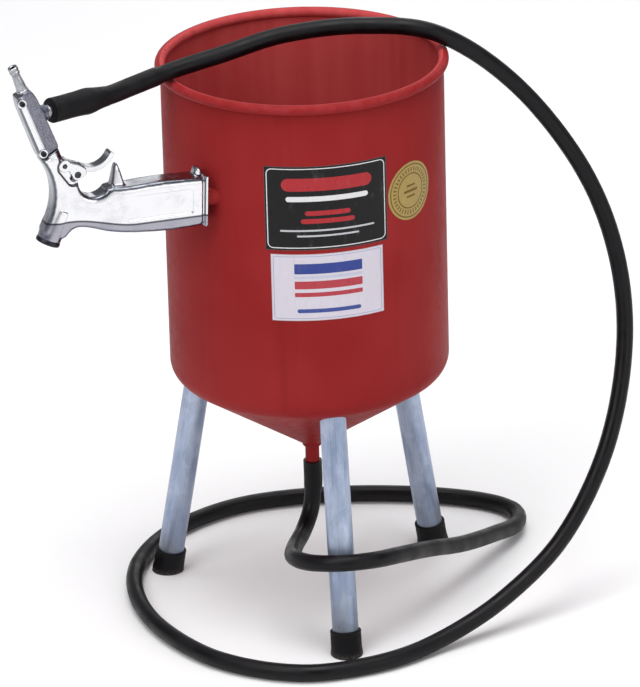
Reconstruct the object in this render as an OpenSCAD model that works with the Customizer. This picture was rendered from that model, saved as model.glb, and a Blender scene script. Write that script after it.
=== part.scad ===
// Open-topped abrasive blaster on three splayed legs, with a floor-lying hose and a trigger gun
// parked on a peg. The floor is z = 0 and +X is to the right of the front label.

/* [Placement] */
// Hopper axis, to the right of the origin
axis_x = 66; // [60:1:72]
// Hopper axis, behind the origin
axis_y = 24; // [18:1:28]

/* [Hopper] */
// Outside diameter of the hopper wall
hopper_d = 272; // [268:1:274]
// Height of the rolled rim's centre above the floor
rim_z = 556; // [554:1:558]
// Diameter of the rolled rim
rim_bead_d = 10; // [9:0.5:10]
// Diameter of the wire inside the rolled rim
rim_wire_d = 7; // [6:0.5:7]
// Thickness of the hopper's sheet steel
sheet_t = 1.5; // [1.2:0.1:1.6]
// Slope of the cone below the horizontal
cone_angle = 34; // [32:1:36]
// Outside radius of the knuckle between wall and cone
knuckle_r = 20; // [15:1:25]

/* [Spout] */
// Outside diameter of the spout pipe
spout_d = 13.7; // [13:0.1:14]
// Bore of the spout pipe
spout_bore_d = 9.2; // [8:0.1:10]
// Height at which the spout leaves the cone
spout_top_z = 156; // [154:1:158]
// Height of the spout's lower end
spout_tip_z = 112; // [110:1:116]

/* [Legs] */
// Outside diameter of a leg tube
leg_d = 25.4; // [25:0.1:26]
// Wall thickness of a leg tube
leg_wall = 1.5; // [1.2:0.1:2]
// Distance of each foot from the hopper axis
foot_reach = 156; // [152:1:160]
// Splay of a leg from the vertical
leg_splay = 10.4; // [9.5:0.1:11]
// Turn of the front leg to the right of straight ahead
front_leg_turn = 10.5; // [8:0.5:12]
// Outside diameter of a rubber foot
foot_d = 30; // [29:0.5:32]
// Height of a rubber foot along its leg
foot_h = 24; // [22:1:28]
// Thickness of the pad below the leg tube
foot_pad = 7; // [6:0.5:8]

/* [Labels] */
// Thickness of a label
label_t = 0.3; // [0.2:0.1:0.4]
// Height of the main label
main_label_h = 85; // [80:1:86]
// Height of the lower label
lower_label_h = 68; // [60:1:68]
// Diameter of the round label
round_label_d = 58; // [50:1:58]

/* [Hose] */
// Outside diameter of the hose
hose_d = 16.5; // [15:0.1:16.6]
// Diameter of the hose end stretched over the spout
hose_mouth_d = 18.4; // [17:0.1:19]

/* [Gun] */
// Thickness of the grip
grip_w = 26; // [24:1:27]
// Height of the grip's section
grip_h = 49; // [46:1:50]
// Length of the grip up to the finger spur
grip_len = 96; // [92:1:96]
// Rounding of the grip's long edges
grip_round = 8; // [6:0.5:10]
// Thickness of the casting at the trigger
web_w = 20; // [20:0.5:22]
// Diameter of the tail around the valve
tail_d = 23; // [22.4:0.2:24]
// Thickness of the mixing head
head_w = 18; // [17:0.5:19]
// Diameter of the trigger's hinge pin
trigger_pin_d = 4; // [3.6:0.1:4.2]
// Diameter of the peg that carries the gun
peg_d = 10; // [8:0.5:10]
// Diameter of the air inlet's tapped hole
inlet_d = 11.2; // [11:0.1:11.4]

/* [Hidden] */

$fn = 96;
fit_gap = 0.03;

hopper_r = hopper_d / 2;
bead_r = rim_bead_d / 2;
spout_r = spout_d / 2;
hose_r = hose_d / 2;

// The cone starts at the spout and meets the wall through the knuckle
knuckle_x = hopper_r - knuckle_r;
cone_end_x = knuckle_x + knuckle_r * sin(cone_angle);
cone_end_z = spout_top_z + (cone_end_x - spout_r) * tan(cone_angle);
knuckle_z = cone_end_z + knuckle_r * cos(cone_angle);

leg_turns = [front_leg_turn - 90, front_leg_turn + 30, front_leg_turn + 150];
leg_run = 268;
stub_d = leg_d - 2 * leg_wall - 0.1;
stub_start = 165;

// Labels: where each starts to the right of the front, and its lower edge
main_label_from = -16.5;
main_label_sweep = 51;
main_label_z = 414.5;
lower_label_from = -14.5;
lower_label_sweep = 46.5;
lower_label_z = 342.5;
round_label_turn = 47.5;
round_label_z = 455.5;

// Route of the hose from the spout to the cuff on the gun, about the hopper axis
HOSE_ROUTE = [
    [0, 0, 138], [0, 0, 112], [-3, -7, 88], [-11, -28, 74], [-20, -70, 75], [-20, -115, 86],
    [-4, -146, 94], [26, -160, 99], [57, -148, 96], [83, -113, 85], [112, -62, 67],
    [145, -5, 45], [178, 58, 26], [203, 110, 13], [200, 155, 9], [160, 184, 8.6],
    [85, 202, 8.5], [0, 203, 8.5], [-80, 181, 8.5], [-143, 125, 8.5], [-176, 50, 8.5],
    [-176, -30, 8.5], [-148, -110, 8.5], [-92, -180, 8.5], [-15, -212, 8.5], [60, -194, 8.6],
    [120, -153, 12], [185, -110, 36], [244, -66, 80], [288, -22, 154], [308, 18, 242],
    [302, 42, 330], [270, 50, 418], [208, 41, 508], [134, 14, 573], [60, 11, 585.5],
    [-15, -5, 584.5], [-75, -32, 576], [-123, -58, 570.5]
];
ROUTE_STEPS = 2;
HOSE_SIDES = 12;

// Gun frame: x runs along the grip away from the hopper, y up the gun's plane, z across it
gun_yaw = 22;
gun_tilt = 2.5;
grip_end = [-96, -107.5, 460];

// Valve axis: from the tail's end up towards the trigger
tail_at = [156.5, -21.5, 0];
valve_turn = 112.5;
valve_bore_r = 9;
valve_bore_len = 38.2;
adaptor_len = 12;
seat_len = 3.5;
spring_wire_d = 1;
spring_r = 6.2;
spring_turns = 6;
stem_r = 2.5;
stem_tip = 65.5;
poppet_at = 27;
poppet_len = 5;
seal_t = 2.5;
bushing_top = 62;

// Trigger: hinge pin, and the roller that pushes the valve stem
hinge_at = [143, 52, 0];
roller_at = [130.2, 42, 0];
roller_r = 3;
lug_w = 10;
ear_t = 2.5;
ear_gap = lug_w + 0.6;

// Mixing head: its axis runs from the neck to the nozzle's tip
head_at = [157, 67, 0];
head_turn = 67.8;
head_len = 66;
spigot_r = 5;
spigot_len = 16;
airway_r = 3;
screw_side = 7.5;
screw_stations = [5, 61];
barb_station = 40;
barb_out = 20;
barb_droop = 1.2;
cuff_start = 21;
cuff_len = 70;

HOPPER_RED = [0.58, 0.17, 0.18];
CAST_GREY = [0.78, 0.79, 0.80];
STEEL = [0.62, 0.64, 0.67];
ZINC = [0.66, 0.69, 0.73];
BRASS = [0.78, 0.62, 0.30];
RUBBER = [0.09, 0.09, 0.10];

module on_axis() { translate([axis_x, axis_y, 0]) children(); }

module in_gun() {
    on_axis() translate(grip_end) rotate([90, 0, 180 + gun_yaw]) rotate([0, 0, gun_tilt]) children();
}

// z runs from the tail's end towards the trigger
module on_valve() { in_gun() translate(tail_at) rotate([0, 0, valve_turn]) rotate([0, 90, 0]) children(); }

// z runs from the neck towards the nozzle, and x out of the gun's plane
module on_head() { in_gun() translate(head_at) rotate([0, 0, head_turn]) rotate([0, 90, 0]) children(); }

// x runs from the neck towards the nozzle, and y back towards the hopper
module flat_on_head() { in_gun() translate(head_at) rotate([0, 0, head_turn]) children(); }

// z runs along the barb, out of the mixing head
module on_barb() {
    in_gun() translate(head_at) rotate([0, 0, head_turn]) translate([barb_station, 0, 0])
        rotate([0, 0, barb_droop - head_turn]) rotate([0, barb_out - 90, 0]) children();
}

module on_leg(turn) {
    on_axis() rotate([0, 0, turn]) translate([foot_reach, 0, 0]) rotate([0, -leg_splay, 0]) children();
}

module ring(outer_r, inner_r, h) {
    difference() {
        cylinder(r = outer_r, h = h);
        translate([0, 0, -1]) cylinder(r = inner_r, h = h + 2);
    }
}

// Half section of the hopper's filled shape, shrunk evenly by inset
module hopper_section(inset, top_z) {
    bend_r = knuckle_r - inset;
    bend_steps = 14;
    knuckle = [
        for (k = [0:bend_steps]) let (a = (90 - cone_angle) * k / bend_steps)
            [knuckle_x + bend_r * cos(a), knuckle_z - bend_r * sin(a)]
    ];
    bend_end = knuckle[bend_steps];
    tip_z = bend_end[1] - (bend_end[0] - spout_r) * tan(cone_angle);
    polygon(concat([[0, top_z], [hopper_r - inset, top_z]], knuckle, [[spout_r, tip_z], [0, tip_z]]));
}

module hopper_envelope() { on_axis() rotate_extrude($fn = 180) hopper_section(0, rim_z); }

module rim_ring(r) { on_axis() rotate_extrude($fn = 180) translate([hopper_r, rim_z]) circle(r = r); }

module hopper_shell() {
    color(HOPPER_RED) difference() {
        union() {
            on_axis() rotate_extrude($fn = 180) difference() {
                hopper_section(0, rim_z - bead_r + 0.7);
                hopper_section(sheet_t, rim_z);
                square([spout_r + fit_gap, rim_z]);
            }
            rim_ring(bead_r);
        }
        rim_ring(rim_wire_d / 2 + fit_gap);
    }
}

module rim_wire() { color(STEEL) rim_ring(rim_wire_d / 2); }

module spout() {
    color(HOPPER_RED) on_axis() translate([0, 0, spout_tip_z])
        ring(spout_r, spout_bore_d / 2, spout_top_z + 4 - spout_tip_z);
}

module wrapped_label(from, sweep, low_z, h) {
    on_axis() rotate([0, 0, from - 90]) rotate_extrude(angle = sweep, $fn = 180)
        translate([hopper_r + fit_gap, low_z]) square([label_t, h]);
}

module main_label() {
    color([0.08, 0.08, 0.09]) wrapped_label(main_label_from, main_label_sweep, main_label_z, main_label_h);
}

module lower_label() {
    color([0.93, 0.93, 0.94]) wrapped_label(lower_label_from, lower_label_sweep, lower_label_z, lower_label_h);
}

module round_label() {
    color([0.83, 0.68, 0.25]) intersection() {
        wrapped_label(round_label_turn - 20, 40, round_label_z - 40, 80);
        on_axis() rotate([0, 0, round_label_turn - 90]) translate([hopper_r - 20, 0, round_label_z])
            rotate([0, 90, 0]) cylinder(d = round_label_d, h = 40);
    }
}

module leg_stub(turn) {
    color(STEEL) difference() {
        on_leg(turn) translate([0, 0, stub_start]) cylinder(d = stub_d, h = leg_run - stub_start);
        hopper_envelope();
    }
}

module leg_tube(turn) {
    color(ZINC) difference() {
        on_leg(turn) translate([0, 0, foot_pad]) ring(leg_d / 2, leg_d / 2 - leg_wall, leg_run - foot_pad);
        hopper_envelope();
    }
}

module foot(turn) {
    below = 12;
    color(RUBBER) difference() {
        on_leg(turn) difference() {
            translate([0, 0, -below]) cylinder(d = foot_d, h = foot_h + below);
            translate([0, 0, foot_pad]) cylinder(r = leg_d / 2 + fit_gap, h = foot_h);
        }
        on_axis() translate([-2 * foot_reach, -2 * foot_reach, -40]) cube([4 * foot_reach, 4 * foot_reach, 40]);
    }
}

module hanger_boss() {
    color(HOPPER_RED) difference() {
        in_gun() translate([-0.4, 0, 0]) rotate([0, -90, 0]) difference() {
            cylinder(r = 8, h = 26);
            translate([0, 0, -1]) cylinder(r = peg_d / 2 + fit_gap, h = 7);
        }
        hopper_envelope();
    }
}

module hanger_peg() {
    color(STEEL) in_gun() translate([-6.2, 0, 0]) rotate([0, 90, 0]) {
        cylinder(d = peg_d, h = 33.8);
        translate([0, 0, 33.8]) cylinder(d1 = peg_d, d2 = peg_d - 3, h = 1.5);
    }
}

// Hose: a curve through the route's points, with a ring of sides at each step
function bend(a, b, c, d, t) =
    0.5 * (2 * b + (c - a) * t + (2 * a - 5 * b + 4 * c - d) * t * t + (3 * b - a - 3 * c + d) * t * t * t);

function unit(v) = v / norm(v);

function smooth_route(route) = [
    for (i = [0:len(route) - 2]) for (k = [0:ROUTE_STEPS - 1])
        bend(route[max(i - 1, 0)], route[i], route[i + 1], route[min(i + 2, len(route) - 1)], k / ROUTE_STEPS),
    route[len(route) - 1]
];

function heading(path, i) = unit(path[min(i + 1, len(path) - 1)] - path[max(i - 1, 0)]);

function carried(path, i) = i == 0 ? [1, 0, 0] :
    let (before = carried(path, i - 1), along = heading(path, i)) unit(before - along * (before * along));

// The hose is thicker where it is stretched over the spout and next to the cuff
function hose_radius(i, count) = i <= ROUTE_STEPS || i >= count - 5 ? hose_mouth_d / 2 : hose_r;

module hose() {
    // The last point is the centre of the cuff's end, and the hose arrives along the cuff
    along = gun_point_direction();
    path = concat(smooth_route(concat(HOSE_ROUTE, [cuff_end() - along * 8])), [cuff_end()]);
    rings = [
        for (i = [0:len(path) - 1])
            let (side = carried(path, i), lift = cross(heading(path, i), side))
            for (k = [0:HOSE_SIDES - 1])
                path[i] + hose_radius(i, len(path)) * (cos(360 * k / HOSE_SIDES) * side + sin(360 * k / HOSE_SIDES) * lift)
    ];
    last = (len(path) - 1) * HOSE_SIDES;
    faces = concat(
        [[for (k = [HOSE_SIDES - 1:-1:0]) HOSE_SIDES - 1 - k]],
        [for (i = [0:len(path) - 2]) for (k = [0:HOSE_SIDES - 1])
            [i * HOSE_SIDES + k, (i + 1) * HOSE_SIDES + k, (i + 1) * HOSE_SIDES + (k + 1) % HOSE_SIDES,
                i * HOSE_SIDES + (k + 1) % HOSE_SIDES]],
        [[for (k = [HOSE_SIDES - 1:-1:0]) last + k]]
    );
    color(RUBBER) on_axis() polyhedron(points = rings, faces = faces, convexity = 10);
}

// The gun's directions in the hopper's frame
gun_x = [-cos(gun_yaw) * cos(gun_tilt), -sin(gun_yaw) * cos(gun_tilt), sin(gun_tilt)];
gun_y = [cos(gun_yaw) * sin(gun_tilt), sin(gun_yaw) * sin(gun_tilt), cos(gun_tilt)];
gun_z = cross(gun_x, gun_y);

function gun_point_direction() =
    cos(barb_out) * (cos(barb_droop) * gun_x + sin(barb_droop) * gun_y) - sin(barb_out) * gun_z;

function cuff_end() =
    let (base = head_at + barb_station * [cos(head_turn), sin(head_turn), 0])
    grip_end + base[0] * gun_x + base[1] * gun_y - (cuff_start + cuff_len + 0.3) * gun_point_direction();

// Box with its four long edges rounded, running along x from the origin
module rounded_bar(length, h, w, r) {
    translate([0, -h / 2 + r, -w / 2]) cube([length, h - 2 * r, w]);
    translate([0, -h / 2, -w / 2 + r]) cube([length, h, w - 2 * r]);
    for (y = [-1, 1]) for (z = [-1, 1])
        translate([0, y * (h / 2 - r), z * (w / 2 - r)]) rotate([0, 90, 0]) cylinder(r = r, h = length);
}

// Side outline of the casting between the grip, the neck and the tail
module web_outline() {
    difference() {
        polygon([
            [88, -22], [104, -18], [118, -13], [132, -11], [140, -14], [147, -27], [170, -18],
            [170, 30], [167, 63], [147.5, 71], [145, 60], [138, 60], [128, 37], [128, 24.8], [88, 24.8]
        ]);
        translate([113, 34]) circle(r = 16.5);
        translate([213, 24]) circle(r = 59);
    }
}

module spur() {
    linear_extrude(height = 12, center = true)
        polygon([[80, 20], [84, 33], [87.5, 46], [90, 48], [92.5, 44], [96, 22]]);
}

module gun_body() {
    color(CAST_GREY) difference() {
        union() {
            in_gun() {
                translate([3, 0.5, 0]) rounded_bar(grip_len - 3, grip_h, grip_w, grip_round);
                translate([0, 0.5, 0]) rounded_bar(3.2, grip_h + 2, grip_w + 1, grip_round);
                linear_extrude(height = web_w, center = true) web_outline();
                spur();
                translate([4, 20, -5]) cube([8, 13, 10]);
                translate(hinge_at) cylinder(r = 6, h = lug_w, center = true);
            }
            on_valve() cylinder(d = tail_d, h = 30);
            on_head() translate([0, 0, -24]) cylinder(r = 9.5, h = 23.5);
            on_head() cylinder(r = spigot_r, h = spigot_len);
        }
        in_gun() translate([-1, 0, 0]) rotate([0, 90, 0]) cylinder(d = peg_d + 0.6, h = 34);
        in_gun() translate(hinge_at) cylinder(d = trigger_pin_d + 2 * fit_gap, h = 40, center = true);
        for (side = [-1, 1]) in_gun() translate([0, 0, side * (lug_w / 2 + 0.1 + 10)])
            linear_extrude(height = 20, center = true) ear_pocket();
        in_gun() linear_extrude(height = 40, center = true) roller_slot();
        on_valve() {
            translate([0, 0, -20]) cylinder(r = 20, h = 20);
            translate([0, 0, -1]) cylinder(r = valve_bore_r, h = valve_bore_len + 1);
            translate([0, 0, 30]) cylinder(r = 4.5, h = 22);
            translate([0, 0, 50]) cylinder(r = 4.8 + fit_gap, h = 30);
        }
        airway();
        on_head() translate([0, 0, -4]) cylinder(r = airway_r, h = spigot_len + 8);
    }
}

// Room beside the lug for the trigger's ears, over the whole pull
module ear_pocket() {
    hull() {
        translate([hinge_at[0], hinge_at[1]]) circle(r = 8);
        translate([128, 44]) circle(r = 9);
        translate([134, 39]) circle(r = 7.5);
    }
}

// Room for the roller's path from rest to the end of the pull
module roller_slot() {
    hull() {
        translate([125, 44]) circle(r = roller_r + 0.5);
        translate([roller_at[0], roller_at[1]]) circle(r = roller_r + 0.5);
        translate([133.2, 39.2]) circle(r = roller_r + 0.5);
    }
}

// Drilled passage from the valve's upper chamber to the neck
module airway() {
    from = [141, 16, 0];
    run = head_at - from;
    in_gun() translate(from) rotate([0, 0, atan2(run[1], run[0])]) rotate([0, 90, 0])
        cylinder(r = airway_r, h = norm(run));
}

module head_outline() {
    polygon([[0.2, 9.5], [7, 9.5], [head_len - 8, 6.8], [head_len, 5.5], [head_len, -8], [head_len - 5, -11.5],
        [4, -11.5], [0.2, -8]]);
}

module mixing_head() {
    color(CAST_GREY) difference() {
        union() {
            flat_on_head() linear_extrude(height = head_w, center = true) head_outline();
            on_barb() cylinder(r = 7.5, h = 14);
        }
        on_head() translate([0, 0, -1]) cylinder(r = spigot_r + fit_gap, h = head_len + 2);
        on_barb() cylinder(r = 4.2, h = 20);
        flat_on_head() for (x = screw_stations)
            translate([x, -screw_side, -head_w / 2 - 1]) cylinder(r = 1.8, h = 15);
    }
}

module head_cover() {
    color(STEEL) flat_on_head() translate([0, 0, -head_w / 2 - 2]) difference() {
        union() {
            translate([screw_stations[0], -screw_side - 2.5, 0])
                cube([screw_stations[1] - screw_stations[0], 5, 2]);
            for (x = screw_stations) translate([x, -screw_side, -0.8]) cylinder(r = 4.4, h = 2.8);
        }
        for (x = screw_stations) translate([x, -screw_side, -2]) cylinder(r = 2.1, h = 6);
    }
}

module head_screws() {
    color(STEEL) flat_on_head() for (x = screw_stations)
        translate([x, -screw_side, -head_w / 2 - 2.8]) {
            cylinder(r = 1.75, h = 14);
            translate([0, 0, -1.8]) difference() {
                cylinder(r = 2.6, h = 1.8);
                translate([0, 0, -1]) cylinder(r = 1.4, h = 2.2, $fn = 6);
            }
        }
}

module nozzle() {
    color(STEEL) on_head() difference() {
        union() {
            translate([0, 0, 50]) cylinder(r = spigot_r, h = head_len - 50);
            translate([0, 0, head_len]) cylinder(r1 = 4.7, r2 = 3.6, h = 20);
            translate([0, 0, head_len + 20]) cylinder(r = 4.8, h = 8);
        }
        translate([0, 0, 49]) cylinder(r = 2.4, h = 50);
    }
}

module air_jet() {
    color(BRASS) on_head() difference() {
        union() {
            translate([0, 0, 9]) cylinder(r = airway_r - fit_gap, h = 8);
            translate([0, 0, 16.8]) cylinder(r = 4.6, h = 4, $fn = 6);
            translate([0, 0, 20.8]) cylinder(r1 = 3.4, r2 = 2.2, h = 13);
        }
        translate([0, 0, 8]) cylinder(r = 1.2, h = 30);
    }
}

module jet_washer() {
    color(RUBBER) on_head() translate([0, 0, spigot_len]) ring(4.7, airway_r, 0.8);
}

module hose_barb() {
    color(STEEL) on_barb() difference() {
        union() {
            translate([0, 0, 8]) cylinder(r = 4.2 - fit_gap, h = 8);
            translate([0, 0, 14]) cylinder(r = 6.4, h = 4);
            translate([0, 0, 16]) cylinder(r = 5, h = 34);
            for (z = [18.6, 26, 33, 40]) translate([0, 0, z]) cylinder(r1 = 5.5, r2 = 5, h = 2.2);
        }
        translate([0, 0, 7]) cylinder(r = 3.2, h = 50);
    }
}

module hose_cuff() {
    color(RUBBER) on_barb() translate([0, 0, cuff_start]) difference() {
        rotate_extrude() polygon([
            [0, 0], [11, 0], [12, 1.5], [12, cuff_len - 22], [11.6, cuff_len - 12], [12, cuff_len - 8],
            [10, cuff_len], [0, cuff_len]
        ]);
        translate([0, 0, -1]) cylinder(r = 5.6, h = 31);
    }
}

module trigger_pin() {
    color(STEEL) in_gun() translate(hinge_at) cylinder(d = trigger_pin_d, h = ear_gap + 2 * ear_t + 1, center = true);
}

module stem_bushing() {
    color(BRASS) on_valve() translate([0, 0, 50]) ring(4.8, stem_r + 0.05, bushing_top - 50);
}

module stem_seal() {
    color(RUBBER) on_valve() translate([0, 0, 48.4]) ring(4.4, stem_r + 0.05, 1.5);
}

module valve_seat() {
    color(BRASS) on_valve() translate([0, 0, valve_bore_len - seat_len]) ring(valve_bore_r - fit_gap, 4, seat_len);
}

module valve_spring() {
    low = adaptor_len + 0.1;
    rise = poppet_at - low - 0.2 - spring_wire_d;
    steps = 12;
    turns = spring_turns;
    count = turns * steps;
    sides = 6;
    rings = [
        for (i = [0:count]) let (a = 360 * i / steps) for (k = [0:sides - 1])
            let (b = 360 * k / sides, r = spring_r + spring_wire_d / 2 * cos(b))
            [r * cos(a), r * sin(a), low + spring_wire_d / 2 + rise * i / count + spring_wire_d / 2 * sin(b)]
    ];
    faces = concat(
        [[for (k = [0:sides - 1]) k]],
        [for (i = [0:count - 1]) for (k = [0:sides - 1])
            [i * sides + k, (i + 1) * sides + k, (i + 1) * sides + (k + 1) % sides, i * sides + (k + 1) % sides]],
        [[for (k = [sides - 1:-1:0]) count * sides + k]]
    );
    color(STEEL) on_valve() polyhedron(points = rings, faces = faces, convexity = 10);
}

module air_inlet() {
    color(STEEL) on_valve() difference() {
        union() {
            translate([0, 0, -4]) cylinder(d = tail_d + 0.6, h = 4);
            cylinder(r = valve_bore_r - fit_gap, h = adaptor_len);
        }
        translate([0, 0, -5]) cylinder(d = inlet_d, h = adaptor_len + 6);
    }
}

// Ear plate of the trigger, around the hinge and the roller
module ear_outline() {
    translate([hinge_at[0], hinge_at[1]]) circle(r = 6);
    translate([roller_at[0], roller_at[1]]) circle(r = 5.4);
    polygon([[145, 57.6], [139, 46.6], [133, 37.4], [127, 37.8], [121, 41.8], [122, 47], [128, 51]]);
}

module hook_outline() {
    intersection() {
        translate([115, 66]) difference() {
            circle(r = 23.5);
            circle(r = 18.5);
        }
        polygon([[115, 66], [90, 54.5], [90, 38], [128, 38], [128, 46]]);
    }
    translate([95.8, 57.4]) circle(r = 2.5);
}

module trigger() {
    color(CAST_GREY) in_gun() difference() {
        union() {
            for (side = [-1, 1]) translate([0, 0, side * (ear_gap + ear_t) / 2])
                linear_extrude(height = ear_t, center = true) ear_outline();
            linear_extrude(height = ear_gap + 1, center = true) hook_outline();
        }
        translate(hinge_at) cylinder(d = trigger_pin_d + 0.12, h = 40, center = true);
        translate(roller_at) cylinder(r = roller_r + fit_gap, h = 40, center = true);
    }
}

module roller_pin() {
    color(STEEL) in_gun() translate(roller_at) cylinder(r = roller_r, h = ear_gap + 2 * ear_t, center = true);
}

module valve_stem() {
    color(STEEL) on_valve() {
        translate([0, 0, poppet_at]) cylinder(r = 7.4, h = poppet_len);
        translate([0, 0, poppet_at]) cylinder(r = stem_r, h = stem_tip - poppet_at);
    }
}

module poppet_seal() {
    color(RUBBER) on_valve() translate([0, 0, poppet_at + poppet_len]) ring(7, stem_r + fit_gap, seal_t);
}

hopper_shell();
rim_wire();
spout();
main_label();
lower_label();
round_label();
leg_stub(leg_turns[0]);  // leg_stub_front
leg_stub(leg_turns[1]);  // leg_stub_right
leg_stub(leg_turns[2]);  // leg_stub_left
leg_tube(leg_turns[0]);  // leg_front
leg_tube(leg_turns[1]);  // leg_right
leg_tube(leg_turns[2]);  // leg_left
foot(leg_turns[0]);  // foot_front
foot(leg_turns[1]);  // foot_right
foot(leg_turns[2]);  // foot_left
hanger_boss();
hanger_peg();
hose();
gun_body();
mixing_head();
head_cover();
head_screws();
nozzle();
air_jet();
jet_washer();
hose_barb();
hose_cuff();
trigger_pin();
stem_bushing();
stem_seal();
valve_seat();
valve_spring();
air_inlet();
trigger();
roller_pin();
valve_stem();
poppet_seal();
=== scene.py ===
"""Abrasive blaster: an open steel hopper on three tube legs, a long hose and a trigger gun.

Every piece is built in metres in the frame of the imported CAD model. The floor is z = 0 and
+X is to the right of the labels.
"""

from __future__ import annotations

import logging
import math
from dataclasses import dataclass
from enum import Enum

import bpy
from mathutils import Matrix, Vector, geometry

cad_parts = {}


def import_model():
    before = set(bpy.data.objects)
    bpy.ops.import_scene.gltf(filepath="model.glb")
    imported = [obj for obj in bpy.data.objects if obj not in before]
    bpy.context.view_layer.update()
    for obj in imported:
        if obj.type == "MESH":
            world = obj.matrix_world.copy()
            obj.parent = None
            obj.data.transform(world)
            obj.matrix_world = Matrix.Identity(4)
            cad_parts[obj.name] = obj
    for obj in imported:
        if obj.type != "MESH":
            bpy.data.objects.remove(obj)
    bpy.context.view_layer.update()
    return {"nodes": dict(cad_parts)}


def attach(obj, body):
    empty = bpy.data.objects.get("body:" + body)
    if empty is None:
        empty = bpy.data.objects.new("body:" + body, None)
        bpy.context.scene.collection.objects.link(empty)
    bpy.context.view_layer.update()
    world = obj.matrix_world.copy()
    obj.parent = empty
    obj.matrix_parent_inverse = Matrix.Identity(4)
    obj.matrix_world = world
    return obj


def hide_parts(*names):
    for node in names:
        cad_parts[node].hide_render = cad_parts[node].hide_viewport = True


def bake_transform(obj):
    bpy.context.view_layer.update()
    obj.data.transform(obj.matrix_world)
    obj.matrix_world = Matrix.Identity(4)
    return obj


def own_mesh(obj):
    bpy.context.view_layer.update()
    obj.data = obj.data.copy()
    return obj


LOG = logging.getLogger("blaster")
Piece = bpy.types.Object
Outline = list[tuple[float, float]]
MM = 0.001
# Points closer than this are merged on a turned piece, in mm
SAME_POINT = 0.002

HOPPER_AXIS = Vector((66, 24, 0)) * MM


# --------------------------------------------------------------------------- places


def moved(x: float, y: float, z: float) -> Matrix:
    """Returns a shift by x, y and z millimetres."""
    return Matrix.Translation(Vector((x, y, z)) * MM)


def turned(degrees: float, axis: str) -> Matrix:
    """Returns a turn of that many degrees about an axis."""
    return Matrix.Rotation(math.radians(degrees), 4, axis)


class Place(Enum):
    """The working frames that pieces are drawn in before they are put in place."""

    HOPPER = Matrix.Translation(HOPPER_AXIS)
    GUN = HOPPER @ moved(-96, -107.5, 460) @ turned(202, "Z") @ turned(90, "X") @ turned(2.5, "Z")
    VALVE = GUN @ moved(156.5, -21.5, 0) @ turned(112.5, "Z") @ turned(90, "Y")
    HEAD = GUN @ moved(157, 67, 0) @ turned(67.8, "Z")
    HEAD_AXIS = HEAD @ turned(90, "Y")
    BARB = HEAD @ moved(40, 0, 0) @ turned(-66.6, "Z") @ turned(-70, "Y")
    PEG = GUN @ turned(90, "Y")
    LEG_FRONT = HOPPER @ turned(-79.5, "Z") @ moved(156, 0, 0) @ turned(-10.4, "Y")
    LEG_RIGHT = HOPPER @ turned(40.5, "Z") @ moved(156, 0, 0) @ turned(-10.4, "Y")
    LEG_LEFT = HOPPER @ turned(160.5, "Z") @ moved(156, 0, 0) @ turned(-10.4, "Y")


LEGS = {"front": Place.LEG_FRONT, "right": Place.LEG_RIGHT, "left": Place.LEG_LEFT}


# --------------------------------------------------------------------------- hand tools


def deselect() -> None:
    """Leaves object mode with nothing selected."""
    if bpy.context.object and bpy.context.object.mode != "OBJECT":
        bpy.ops.object.mode_set(mode="OBJECT")
    bpy.ops.object.select_all(action="DESELECT")


def pick(piece: Piece) -> None:
    """Makes one piece the only selected and active one.

    Args:
        piece: The piece to work on.
    """
    deselect()
    piece.select_set(True)
    bpy.context.view_layer.objects.active = piece


def edit_all(merge_at: float = 0.0) -> None:
    """Enters edit mode with everything selected.

    Args:
        merge_at: Points closer than this are merged, in millimetres; 0 for none.
    """
    bpy.ops.object.mode_set(mode="EDIT")
    bpy.ops.mesh.select_all(action="SELECT")
    if merge_at:
        bpy.ops.mesh.remove_doubles(threshold=merge_at * MM)


def turn_outwards() -> None:
    """Points every face of the piece in edit mode outwards and leaves edit mode."""
    bpy.ops.mesh.select_all(action="SELECT")
    bpy.ops.mesh.normals_make_consistent(inside=False)
    bpy.ops.object.mode_set(mode="OBJECT")


def draw(name: str, points: list[Vector], closed: bool = False) -> Piece:
    """Draws a chain of edges by pulling one point along a path.

    Args:
        name: The piece's name.
        points: The path, in metres.
        closed: Whether the chain is joined up and filled with a face.

    Returns:
        The new mesh object, in object mode.
    """
    deselect()
    bpy.ops.mesh.primitive_plane_add(size=MM)
    piece = bpy.context.object
    piece.name = piece.data.name = name
    bpy.ops.object.mode_set(mode="EDIT")
    bpy.ops.mesh.merge(type="CENTER")
    bpy.ops.transform.translate(value=points[0])
    for here, there in zip(points, points[1:]):
        bpy.ops.mesh.extrude_region_move(TRANSFORM_OT_translate={"value": there - here})
    if closed:
        bpy.ops.mesh.select_all(action="SELECT")
        bpy.ops.mesh.edge_face_add()
    bpy.ops.object.mode_set(mode="OBJECT")
    return piece


def finish_edges(piece: Piece, bevel: float, smooth_angle: float = 35) -> None:
    """Rounds a piece's sharp edges and shades it smooth between them.

    Args:
        piece: The piece to finish.
        bevel: The width of the rounding, in millimetres; 0 for none.
        smooth_angle: Edges sharper than this stay crisp, in degrees.
    """
    pick(piece)
    if bevel:
        edge = piece.modifiers.new("edge", "BEVEL")
        edge.width = bevel * MM
        edge.segments = 2
        edge.limit_method = "ANGLE"
        edge.angle_limit = math.radians(40)
        bpy.ops.object.modifier_apply(modifier="edge")
    bpy.ops.object.shade_smooth_by_angle(angle=math.radians(smooth_angle))


def settle(piece: Piece, place: Matrix) -> None:
    """Puts a piece in its place and applies it, so that its object stays at the origin."""
    pick(piece)
    piece.matrix_world = place
    bpy.ops.object.transform_apply(location=True, rotation=True, scale=True)


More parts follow.
